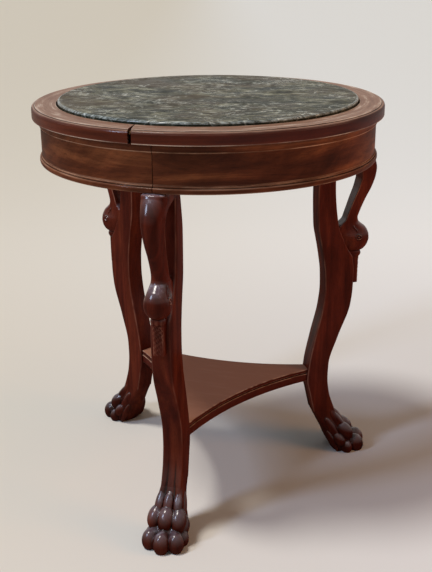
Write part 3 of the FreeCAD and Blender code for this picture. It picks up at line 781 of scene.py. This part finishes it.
# %% [markdown]
# ## Carved legs
# Each leg is sawn from thick board to a double curve and then carved: the swan's neck springs from its head,
# bends out and lies back against it, and the paw grows out of its foot. All three forms are closed rings
# piled along a line. A ring is a rounded box written in polar form, and a bulge such as a toe is an egg:
# from the middle of the ring, a ray meets the egg at a distance that a quadratic gives. The outline takes
# the larger distance, smoothly, which is how a carver leaves a round form standing out of the ground.


# %% Smooth tables and rings
def smooth_between(stations, places):
    """Columns of a table of stations at the given places: on each span a cubic whose slopes at the stations
    are the harmonic mean of the neighbouring climbs, or level at a turn, so it never swings past one."""
    table = np.array(stations, dtype=float)
    steps = np.diff(table[:, 0])
    climbs = np.diff(table[:, 1:], axis=0) / steps[:, None]
    product, total = climbs[:-1] * climbs[1:], climbs[:-1] + climbs[1:]
    inner = np.where(product > 0, 2 * product / np.where(total == 0, 1, total), 0)
    slopes = np.concatenate([climbs[:1], inner, climbs[-1:]])
    span = np.clip(np.searchsorted(table[:, 0], places, side="right") - 1, 0, len(steps) - 1)
    part = ((places - table[span, 0]) / steps[span])[:, None]
    step = steps[span][:, None]
    start = table[span, 1:] * (1 + 2 * part) + slopes[span] * step * part
    end = table[span + 1, 1:] * (3 - 2 * part) + slopes[span + 1] * step * (part - 1)
    columns = start * (1 - part) ** 2 + end * part ** 2
    return [column[:, None] for column in columns.T]


def rounded_ring(angle, front, back, half, front_power, back_power):
    """Ring about a middle: the unit direction divided by the power mean of its two parts, then scaled by the
    distance to the front or the back and by the half width. Power 2 is an ellipse, a high power a box."""
    cosine, sine = np.cos(angle), np.sin(angle)
    power = np.where(cosine > 0, front_power, back_power)
    length = (np.abs(cosine) ** power + np.abs(sine) ** power) ** (1 / power)
    return cosine / length * np.where(cosine > 0, front, back), sine / length * half


print("half way up a rise:", smooth_between([(0, 0), (1, 4)], np.array([0.5]))[0].item())


# %% Eggs that stand out of a ring
def egg_reach(origin, direction, centre, axes, lean, splay):
    """Distance along each ray to the far side of an egg: the larger root of the quadratic for a unit ball
    after turning by the splay, tipping by the lean (foot outwards) and scaling. Past the egg's outline the
    root runs on mirrored and three times as steep, so the surface falls off quickly but without a tear."""
    tip = np.array([[math.cos(lean), 0, math.sin(lean)], [0, 1, 0], [-math.sin(lean), 0, math.cos(lean)]])
    turn = np.array([[math.cos(splay), math.sin(splay), 0], [-math.sin(splay), math.cos(splay), 0],
                     [0, 0, 1]])
    to_ball = (tip @ turn) / np.array(axes)[:, None]
    start = (origin - np.array(centre)) @ to_ball.T
    way = direction @ to_ball.T
    square = np.sum(way * way, axis=-1)
    half = np.sum(start * way, axis=-1)
    inside = half ** 2 - square * (np.sum(start * start, axis=-1) - 1)
    return (-half + np.where(inside < 0, -3, 1) * np.sqrt(np.abs(inside))) / square


def outermost(reaches, softness):
    """Smooth maximum: the logarithm of the sum of exponentials, with the softness as its unit."""
    stack = np.stack(reaches)
    peak = stack.max(axis=0)
    return peak + softness * np.log(np.sum(np.exp((stack - peak) / softness), axis=0))


def carve_eggs(origin, direction, ground, eggs, softness):
    """Points on each ray at the smooth maximum of the ground and of the eggs (outwards, across, height, half
    depth, half width, half length, lean, splay). An egg that lies to one side has a twin on the other."""
    reaches = [ground]
    for out, aside, rise, *axes, lean, splay in eggs.values():
        for side in (-1, 1) if aside else (1,):
            angles = math.radians(lean), math.radians(side * splay)
            reaches.append(egg_reach(origin, direction, (out, side * aside, rise), axes, *angles))
    return origin + direction * outermost(reaches, softness)[..., None]


def bell(distance, width):
    """Bell curve: 1 at no distance, falling off within about one width."""
    return np.exp(-(distance / width) ** 2)


print("carving tools ready")

# %% Tendons on the front of the ankle
ring_columns = 240
ring_angle = np.linspace(0, 2 * np.pi, ring_columns, endpoint=False)[None, :]
# Full within 60 degrees of straight ahead, none at the sides and behind
ring_front = np.clip(2 * np.cos(ring_angle), 0, 1)
groove_head, groove_full = 150.0, 86.0
groove_depth = 2.6
groove_half_width, groove_widening = 2.4, 0.8
tendon_pitch_ankle, tendon_pitch_toe = 13.5, 22.5
tendon_spread_head, tendon_spread_foot = 101.0, 50.0


def tendon_grooves(across, height):
    """Depth of the hollows between three tendons: bell-shaped valleys half way between lanes one pitch
    apart, on the front only. The pitch spreads and the valleys deepen on the way from ankle to toes."""
    deep = np.clip((groove_head - height) / (groove_head - groove_full), 0, 1)
    spread = np.clip((tendon_spread_head - height) / (tendon_spread_head - tendon_spread_foot), 0, 1)
    pitch = tendon_pitch_ankle + (tendon_pitch_toe - tendon_pitch_ankle) * spread
    lane = across / pitch - 0.5
    from_valley = (lane - np.round(lane)) * pitch
    valley = bell(from_valley, groove_half_width * (1 + groove_widening * spread))
    return groove_depth * deep * valley * ring_front


print("grooves are", groove_depth, "mm deep")

# %% Legs
leg_low, leg_high = node_box("leg_front")
ankle_height, leg_height = leg_low[2], leg_high[2]
leg_top_width, leg_ankle_width = 33.5, 37.5
leg_front_power, leg_back_power = 9.0, 16.0
leg_rings = 170
# Share of the leg's length above the ankle, then its back and its front, both inwards of the apron face
leg_curve = [
    (0.000, 83.5, 39.0), (0.076, 92.5, 52.0), (0.133, 98.5, 55.5), (0.189, 96.0, 54.5), (0.297, 85.0, 37.5),
    (0.420, 70.5, 14.5), (0.483, 67.5, 11.0), (0.541, 68.5, 10.5), (0.598, 72.5, 14.0), (0.636, 76.0, 25.0),
    (0.726, 84.5, 44.5), (0.851, 86.5, 52.0), (0.930, 81.0, 53.0), (1.000, 72.5, 54.0),
]
leg_names = ("front", "right", "left")
board_shift = 0.31


def leg_points():
    """Level rings up the leg in millimetres beside it (outwards, across, height). Each ring is a crisp
    rounded box between the back and the front of the leg, less the hollows between the tendons."""
    share = np.linspace(0, 1, leg_rings)
    height = (ankle_height + share * (leg_height - ankle_height))[:, None]
    back, front = (apron_face - inwards for inwards in smooth_between(leg_curve, share))
    half = (leg_ankle_width + (leg_top_width - leg_ankle_width) * share)[:, None] / 2
    middle = (back + front) / 2
    outward, across = rounded_ring(ring_angle, front - middle, middle - back, half, leg_front_power,
                                   leg_back_power)
    outward = outward - tendon_grooves(across, height)
    return np.stack([middle + outward, across, height + 0 * across], axis=-1)


def place_carving(title, beside):
    """Three copies of a carving, turned to the legs a third of a turn apart. The fibres run up the leg, and
    each leg is sawn from another board, so its grain is shifted."""
    outward, across, height = np.moveaxis(beside * mm, -1, 0)
    for k, place in enumerate(leg_names):
        points = round_axis(outward, across, height, math.radians(third_turn * k))
        grain = np.stack([across + board_shift * k, outward, height], axis=-1)
        nodes = [title.lower() + "_" + place]
        build_piece(title + "_" + place, points, "table", "carved_mahogany", nodes, grain)


place_carving("Leg", leg_points())

# %% [markdown]
# ## Paws
# The paw spreads from the ankle to three broad front toes and a smaller one on either side of the heel. Each
# toe is a full pad below a round knuckle, and a tendon swells above each front knuckle. Two more tendons and
# a dew claw run down either side. From the middle of the paw every level ray leaves the wood exactly once,
# so the whole paw is one distance per direction and height.

# %% Paws
# Share of the ankle height, back and front inwards of the apron face, width, squareness of the ring
paw_curve = [
    (0.00, 38.0, 0.0, 54.0, 2.6), (0.10, 43.0, -5.0, 60.0, 2.6), (0.27, 51.5, -6.0, 60.0, 2.8),
    (0.46, 59.0, 7.0, 52.0, 3.0), (0.65, 68.0, 20.0, 46.0, 3.6), (0.84, 76.5, 32.0, 39.5, 5.5),
    (1.00, 83.5, 39.0, 37.5, 9.0),
]
# Outwards of the apron face, across, height, half depth, half width, half length, lean and splay of each egg
paw_eggs = {
    "front toe": (15.0, 0.0, 15.0, 14.5, 14.5, 20.0, 14.0, 0.0),
    "side toe": (6.0, 23.0, 14.5, 15.0, 14.0, 19.5, 14.0, 12.0),
    "heel toe": (-15.0, 28.5, 10.5, 11.5, 10.5, 14.0, 8.0, 20.0),
    "front knuckle": (-12.5, 0.0, 48.0, 13.5, 14.0, 21.5, 40.0, 0.0),
    "side knuckle": (-17.5, 21.0, 44.5, 13.5, 13.5, 21.0, 38.0, 10.0),
    "heel knuckle": (-30.0, 26.5, 28.0, 10.0, 9.5, 17.0, 36.0, 16.0),
    "front swelling": (-25.0, 0.0, 68.0, 5.8, 8.5, 21.0, 33.0, 0.0),
    "side swelling": (-28.0, 16.0, 65.5, 6.0, 8.0, 21.0, 33.0, 8.0),
    "side tendon": (-33.0, 17.0, 65.0, 7.0, 6.0, 30.0, 32.0, 6.0),
    "heel tendon": (-43.0, 21.5, 50.0, 6.5, 5.5, 30.0, 30.0, 10.0),
    "dew claw": (-43.0, 22.5, 24.0, 5.5, 6.0, 27.0, 26.0, 12.0),
}
paw_softness = 1.8
paw_rings, knuckle_rings = 110, 60
knuckle_low, knuckle_high = 26.0, 48.0
# Middle of the rings inwards of the apron face at the floor, and how much farther in it is at the ankle
paw_middle, paw_middle_run = 16.0, 44.0


def paw_points():
    """Level rings from the floor to the ankle, closer between the toes and the knuckles. The reach of every
    ray is the smooth maximum of the paw's body, less the hollows between the tendons, and of the eggs."""
    levels = [np.linspace(0, ankle_height, paw_rings), np.linspace(knuckle_low, knuckle_high, knuckle_rings)]
    height = np.unique(np.round(np.concatenate(levels), 3))[:, None]
    share = height / ankle_height
    back, front, width, power = smooth_between(paw_curve, share[:, 0])
    middle = -paw_middle - paw_middle_run * share
    outward, across = rounded_ring(ring_angle, -front - middle, middle + back, width / 2, power, power)
    outward = outward - tendon_grooves(across, height)
    body = np.hypot(outward, across)
    way = np.stack([outward / body, across / body, 0 * body], axis=-1)
    origin = np.stack([middle + 0 * body, 0 * body, height + 0 * body], axis=-1)
    return carve_eggs(origin, way, body, paw_eggs, paw_softness) + np.array([apron_face, 0, 0])


place_carving("Paw", paw_points())

# %% [markdown]
# ## Swan's necks
# The neck leaves the head of the leg, arches outwards, narrows to the throat and ends in an egg-shaped head
# whose beak lies flat on the leg. Its rings are not level: each one spans from the inner to the outer edge of
# the neck, so they fan round the arch. The back is flat with crisp arrises and the front is half round. The
# eyes, the brow and the uneven bumps of the beak are small heights added along the normal.

# %% Course of the neck
neck_tip = node_box("swan_neck_front")[0][2]
# Number of the station, inner edge outwards of the apron face and its height above the beak's tip, outer edge
# and its height, width, back width, squareness
neck_stations = [
    (0, -16.5, 0.0, 0.0, 0.0, 18.5, 15.5, 5.0),
    (1, -14.5, 4.0, 0.0, 4.0, 19.0, 16.5, 5.0),
    (2, -12.5, 24.5, 0.0, 24.5, 19.5, 17.0, 5.0),
    (3, -15.5, 45.0, 0.5, 45.0, 20.0, 17.0, 4.5),
    (4, -19.5, 52.5, 1.5, 52.5, 20.0, 17.5, 3.5),
    (5, -27.0, 63.5, 4.0, 63.5, 21.0, 18.0, 2.6),
    (6, -29.0, 67.0, 9.5, 67.0, 30.0, 18.5, 2.2),
    (7, -32.0, 71.5, 14.0, 71.5, 37.5, 19.0, 2.0),
    (8, -35.5, 78.5, 18.0, 78.5, 42.0, 22.0, 2.0),
    (9, -39.0, 86.0, 20.2, 86.5, 42.0, 25.0, 2.0),
    (10, -42.0, 93.5, 19.6, 94.5, 39.5, 26.0, 2.0),
    (11, -44.0, 100.5, 17.0, 102.0, 34.0, 26.0, 2.0),
    (12, -44.5, 107.0, 12.3, 109.0, 30.0, 26.0, 2.0),
    (13, -42.0, 113.0, 4.5, 115.5, 27.5, 26.0, 2.0),
    (14, -36.5, 118.5, -1.5, 121.5, 26.0, 25.5, 2.0),
    (15, -30.0, 125.0, -3.0, 128.5, 25.5, 25.5, 2.0),
    (16, -24.5, 140.0, 1.5, 142.0, 23.5, 26.0, 2.0),
    (17, -16.0, 163.5, 11.0, 163.5, 23.0, 29.0, 2.0),
    (18, -7.5, 186.0, 22.5, 186.0, 24.5, 32.0, 2.0),
    (19, -3.0, 205.0, 29.0, 206.0, 27.0, 35.0, 2.0),
    (20, -3.5, 214.0, 30.5, 220.0, 29.5, 35.5, 2.0),
    (21, -7.0, 223.5, 27.5, 234.5, 33.5, 35.0, 2.0),
    (22, -13.5, 230.5, 21.5, 247.5, 36.5, 34.0, 2.1),
    (23, -23.5, 236.0, 14.0, 258.0, 38.5, 32.5, 2.4),
    (24, -38.5, 240.5, 8.0, 264.0, 40.0, 32.5, 3.2),
    (25, -53.0, 243.5, -20.0, 264.2, 37.5, 32.5, 5.0),
    (26, -61.5, 244.5, -48.0, 264.2, 34.5, 33.0, 6.0),
]
print("neck of", len(neck_stations), "stations")

# %% Small carving of the head
# Places are outwards of the apron face and above the beak's tip; a wander is its sway and its pitch
cheek_inside, cheek_run = 8.0, 6.0
eye_place = (-6.0, 92.5)
eye_ring, eye_ring_width, eye_ring_height = 4.3, 1.0, 1.5
eye_boss_width, eye_boss_height = 1.7, 1.7
eye_hollow, eye_hollow_width, eye_hollow_depth = 2.9, 0.8, 0.9
brow_place = (-11.3, 108.0)
brow_sway, brow_half_wave = 2.8, 10.8
brow_width, brow_height, brow_half_length = 1.1, 1.5, 6.0
beak_middle, beak_half = 27.5, 25.0
beak_front, beak_front_run = -2.5, 4.0
bump_pitch, bump_row, bump_height = 8.6, 5.0, 0.45
wander_long, wander_short = (1.9, 19.0), (1.2, 7.7)
border_across, border_width, border_depth = 9.0, 0.9, 0.7


def head_relief(outward, across, height):
    """Heights of the small carving in millimetres. The ring and the boss of each eye, the S-shaped brow above
    it and the border of the beak are bell curves of the distance to their lines; the bumps down the beak are
    a product of two waves whose phase wanders."""
    cheek = np.clip((np.abs(across) - cheek_inside) / cheek_run, 0, 1)
    from_eye = np.hypot(outward - eye_place[0], height - eye_place[1])
    eye = eye_ring_height * bell(from_eye - eye_ring, eye_ring_width)
    eye = eye + eye_boss_height * bell(from_eye, eye_boss_width)
    eye = eye - eye_hollow_depth * bell(from_eye - eye_hollow, eye_hollow_width)
    rise = height - brow_place[1]
    from_brow = outward - brow_place[0] + brow_sway * np.sin(rise * np.pi / brow_half_wave)
    brow = brow_height * bell(from_brow, brow_width) * np.exp(-(rise / brow_half_length) ** 6)
    beak = np.exp(-((height - beak_middle) / beak_half) ** 8)
    beak = beak * np.clip((outward - beak_front) / beak_front_run, 0, 1)
    wander = wander_long[0] * np.sin(height * 2 * np.pi / wander_long[1])
    wander = wander + wander_short[0] * np.sin(height * 2 * np.pi / wander_short[1] + across)
    bumps = np.sin((height + wander) * 2 * np.pi / bump_pitch)
    bumps = bumps * np.cos((across + wander) * np.pi / bump_row)
    border = bell(np.abs(across) - border_across, border_width)
    return cheek * (eye + brow) + beak * (bump_height * bumps - border_depth * border)


print("eye", eye_place[1], "mm above the beak's tip")

# %% Necks
beak_eggs = {
    "knob": (-2.5, 0.0, 59.0, 8.0, 7.0, 7.0, 0.0, 0.0),
    "cheek": (-4.5, 6.5, 58.5, 8.0, 5.5, 6.5, 0.0, 0.0),
}
neck_softness = 1.5
neck_rings = 410
neck_back_power = 14.0
neck_front_share = 0.55


def neck_points():
    """Rings that span from the inner to the outer edge. The middle sits half a width behind the outer edge,
    or a set share of the span where that is less; the front half is an ellipse, the back half a box drawn
    in towards its arrises by the square of the depth."""
    station = np.linspace(0, len(neck_stations) - 1, neck_rings)
    columns = smooth_between(neck_stations, station)
    inner_out, inner_up, outer_out, outer_up, width, back_width, power = columns
    length = np.hypot(outer_out - inner_out, outer_up - inner_up)
    way_out, way_up = (outer_out - inner_out) / length, (outer_up - inner_up) / length
    front = np.minimum(width / 2, neck_front_share * length)
    depth, across = rounded_ring(ring_angle, front, length - front, width / 2, power, neck_back_power)
    drawn = np.clip(-depth / (length - front), 0, 1) ** 2
    across = across * (1 + (back_width / width - 1) * drawn)
    ground = np.hypot(depth, across)
    middle_out, middle_up = outer_out - way_out * front, outer_up - way_up * front
    direction = np.stack([depth * way_out / ground, across / ground, depth * way_up / ground], axis=-1)
    origin = np.stack([middle_out + 0 * ground, 0 * ground, middle_up + 0 * ground], axis=-1)
    points = carve_eggs(origin, direction, ground, beak_eggs, neck_softness)
    relief = head_relief(*np.moveaxis(points, -1, 0))
    normals = grid_normals(points)
    sense = np.sign(np.sum(normals * direction, axis=-1, keepdims=True))
    return points + normals * sense * relief[..., None] + np.array([apron_face, 0, neck_tip])


place_carving("Swan_neck", neck_points())

# %% [markdown]
# ## Shelf
# The shelf is a board with three hollow sides. Its edge has a plain lip, a groove and a deeper band below.
# The outline is three arcs whose centres lie outside the board, so setting a ring in from the edge only
# lengthens the arcs' radius. The rings of the edge profile pile up, and the top and the foot close towards
# the middle.

# %% Outline of the shelf
shelf_waist = 83.0
shelf_half_end = 12.5
shelf_reach = 197.0
arc_columns = 90


def shelf_ring(inset, height, shrink):
    """One ring round the board: each side is an arc about an outside centre through the waist and the two
    ends, its radius lengthened by the inset. Shrink scales the ring towards the middle of the board."""
    end_angle = math.radians(third_turn / 2) - math.atan2(shelf_half_end, shelf_reach)
    end = np.hypot(shelf_reach, shelf_half_end) * np.array([math.cos(end_angle), math.sin(end_angle)])
    centre = (end @ end - shelf_waist ** 2) / (2 * end[0] - 2 * shelf_waist)
    sweep_half = math.atan2(end[1], centre - end[0])
    swing = np.linspace(-sweep_half, sweep_half, arc_columns)
    radius = centre - shelf_waist + inset
    out, aside = centre - radius * np.cos(swing), radius * np.sin(swing)
    azimuth = np.radians(third_turn * (np.arange(3) + 0.5))[:, None]
    return round_axis(out * shrink, aside * shrink, height, azimuth).reshape(-1, 3)


print("a ring has", len(shelf_ring(0.0, 0.0, 1.0)), "points")

# %% Shelf
shelf_low, shelf_high = node_box("shelf")
shelf_head, shelf_foot = shelf_high[2], shelf_low[2]
lip_depth, groove_width = 6.5, 2.5
lip_foot = shelf_head - lip_depth
groove_foot = lip_foot - groove_width
level_inset = 1.0
top_scales, foot_scales = (0.02, 0.3, 0.6, 0.85, 0.95), (0.9, 0.5, 0.02)
# Inset from the edge and height, from the top over the lip, the groove and the band to the foot
shelf_edge = [
    (3.0, shelf_head), (2.0, shelf_head), (1.4, shelf_head - 0.2), (1.05, shelf_head - 0.7),
    (1.0, shelf_head - 1.4), (1.0, lip_foot + 1.0), (1.2, lip_foot + 0.3), (1.7, lip_foot),
    (2.5, lip_foot - 0.2), (2.6, lip_foot - 1.2), (2.4, groove_foot + 0.2), (1.0, groove_foot),
    (0.3, groove_foot - 0.3), (0.0, groove_foot - 1.0), (0.0, shelf_foot + 6.0), (0.0, shelf_foot + 1.2),
    (0.4, shelf_foot + 0.4), (1.2, shelf_foot), (2.5, shelf_foot),
]
shelf_rings = [shelf_ring(level_inset, shelf_head, scale) for scale in top_scales]
shelf_rings += [shelf_ring(inset, height, 1.0) for inset, height in shelf_edge]
shelf_rings += [shelf_ring(level_inset, shelf_foot, scale) for scale in foot_scales]
shelf_points = np.stack(shelf_rings) * mm
shelf_grain = shelf_points[..., [2, 1, 0]]
build_piece("Shelf_board", shelf_points, "table", "shelf_mahogany", ["shelf"], shelf_grain, True)

# %% [markdown]
# ## Carcase wood, dowels and screws
# Under the stone lie a sub-top of pine boards, its battens and the leg blocks, held by beech dowels and steel
# screws. Their CAD shapes are already right, so the nodes stay and only get a finish on Object coordinates.


# %% Finishes of the carcase
def carcase_finish(name, dark, light, scale, roughness, metallic=0.0):
    """Straight growth rings: noise stretched along the board colours the wood and roughens it."""
    tree, shader = new_finish(name)
    rings = noise(tree, stretch(tree, object_place(tree), (0.06, 1, 1)), scale, 5, 0.6, 0.5)
    feed(tree, shader, {
        "Base Color": ramp(tree, rings, ((0.35, dark), (0.65, light))),
        "Roughness": threshold(tree, rings, 0.3, 0.7, roughness, roughness + 0.15),
        "Normal": bumped(tree, rings, 0.3, 0.6 * mm),
        "Metallic": metallic,
    })


carcase_finish("pine_carcase", paint(120, 84, 52), paint(168, 128, 84), 70, 0.6)
carcase_finish("beech_dowel", paint(150, 112, 76), paint(184, 146, 104), 160, 0.55)
carcase_finish("steel_screw", paint(96, 92, 88), paint(140, 138, 134), 400, 0.35, metallic=1.0)
inner_nodes = {
    "pine_carcase": ("sub_top_front", "sub_top_middle", "sub_top_back", "batten_left", "batten_right",
                     "leg_block_front", "leg_block_right", "leg_block_left"),
    "beech_dowel": ("rim_splines", "rim_dowels", "leg_dowels", "neck_dowels", "head_dowels", "paw_dowels",
                    "shelf_dowels"),
    "steel_screw": ("batten_screws", "block_screws"),
}
for slot, names in inner_nodes.items():
    for name in names:
        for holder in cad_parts[name].material_slots:
            holder.material = finishes[slot]
print("carcase nodes dressed:", sum(len(names) for names in inner_nodes.values()))

# %% [markdown]
# ## Floor and light
# The table stands on a plain pale floor that fills the picture, creamier to the left and cooler to the right.
# A broad sun high on the left throws the soft shadow to the right: the angle that a sun lamp fills sets how
# soft that shadow's edge is. A tall cool window in front on the left gives the highlights on the carving, and
# a weak warm lamp on the right lifts the shaded ends of the apron. The world fills the rest dimly, but rays
# from the camera and from polished wood see it pale, as the walls of a white studio would look.

# %% Floor
floor_half = 40.0
# Metres to the left and right, and towards the back, over which the floor changes colour
floor_turn, floor_fade = 0.9, 1.6
cream_near, cream_far = paint(222, 214, 198), paint(236, 230, 219)
cool_near, cool_far = paint(216, 219, 225), paint(250, 250, 251)


def floor_finish():
    """Matt floor whose colour changes from left to right and from near to far, as the camera sees it."""
    tree, shader = new_finish("pale_floor")
    from_camera = stretch(tree, object_place(tree), (1, 1, 1), (0, 0, -camera_azimuth))
    axes = add_node(tree, "SeparateXYZ", {0: from_camera}).outputs
    rightward = threshold(tree, axes[0], -floor_turn, floor_turn)
    farther = threshold(tree, axes[1], 0.0, floor_fade)
    cream = blend(tree, farther, cream_near, cream_far)
    cool = blend(tree, farther, cool_near, cool_far)
    feed(tree, shader, {"Base Color": blend(tree, rightward, cream, cool), "Roughness": 0.9,
                        "Specular IOR Level": 0.1})


floor_mesh = bpy.data.meshes.new("Floor")
floor_corners = np.array([(-1, -1, 0), (1, -1, 0), (1, 1, 0), (-1, 1, 0)]) * floor_half
floor_mesh.from_pydata(floor_corners.tolist(), [], [(0, 1, 2, 3)])
floor_finish()
floor_mesh.materials.append(finishes["pale_floor"])
floor = add_object("Floor", floor_mesh)
print("floor half width", floor_half, "m")

# %% World
world_fill, world_seen = 0.22, 0.8
world = bpy.data.worlds.new("Studio")
world.use_nodes = True
world_tree = world.node_tree
ray = add_node(world_tree, "LightPath", {}).outputs
seen = reckon(world_tree, "MAXIMUM", ray["Is Camera Ray"], ray["Is Glossy Ray"])
seen = reckon(world_tree, "MAXIMUM", seen, ray["Is Transmission Ray"])
feed(world_tree, world_tree.nodes["Background"], {
    "Color": paint(238, 237, 233),
    "Strength": threshold(world_tree, seen, 0.0, 1.0, world_fill, world_seen),
})
bpy.context.scene.world = world
print("world fills with", world_fill, "and is seen at", world_seen)


# %% Lamps
def hang_lamp(name, kind, place, target, strength, colour):
    """Lamp whose own -Z axis looks from its place to its target."""
    data = bpy.data.lights.new(name, kind)
    data.energy = strength
    data.color = colour[:3]
    lamp = add_object(name, data)
    aim = (Vector(target) - Vector(place)).to_track_quat("-Z", "Y").to_matrix().to_4x4()
    lamp.matrix_world = Matrix.Translation(place) @ aim
    return lamp


skylight = hang_lamp("Skylight", "SUN", place=(-1.05, -0.6, 2.82), target=(0, 0, 0), strength=1.85,
                     colour=paint(255, 250, 242))
skylight.data.angle = math.radians(13)
window = hang_lamp("Window", "AREA", place=(-1.7, -1.9, 2.0), target=(0, 0, 0.45), strength=34,
                   colour=paint(206, 224, 255))
glow = hang_lamp("Warm_glow", "AREA", place=(2.0, -0.1, 0.9), target=(0, 0, 0.6), strength=12,
                 colour=paint(255, 172, 84))
glow.visible_glossy = False
for lamp, width, height in ((window, 0.4, 0.9), (glow, 0.8, 0.8)):
    lamp.data.shape = "RECTANGLE"
    lamp.data.size = width
    lamp.data.size_y = height
print("lamps:", skylight.name, window.name, glow.name)
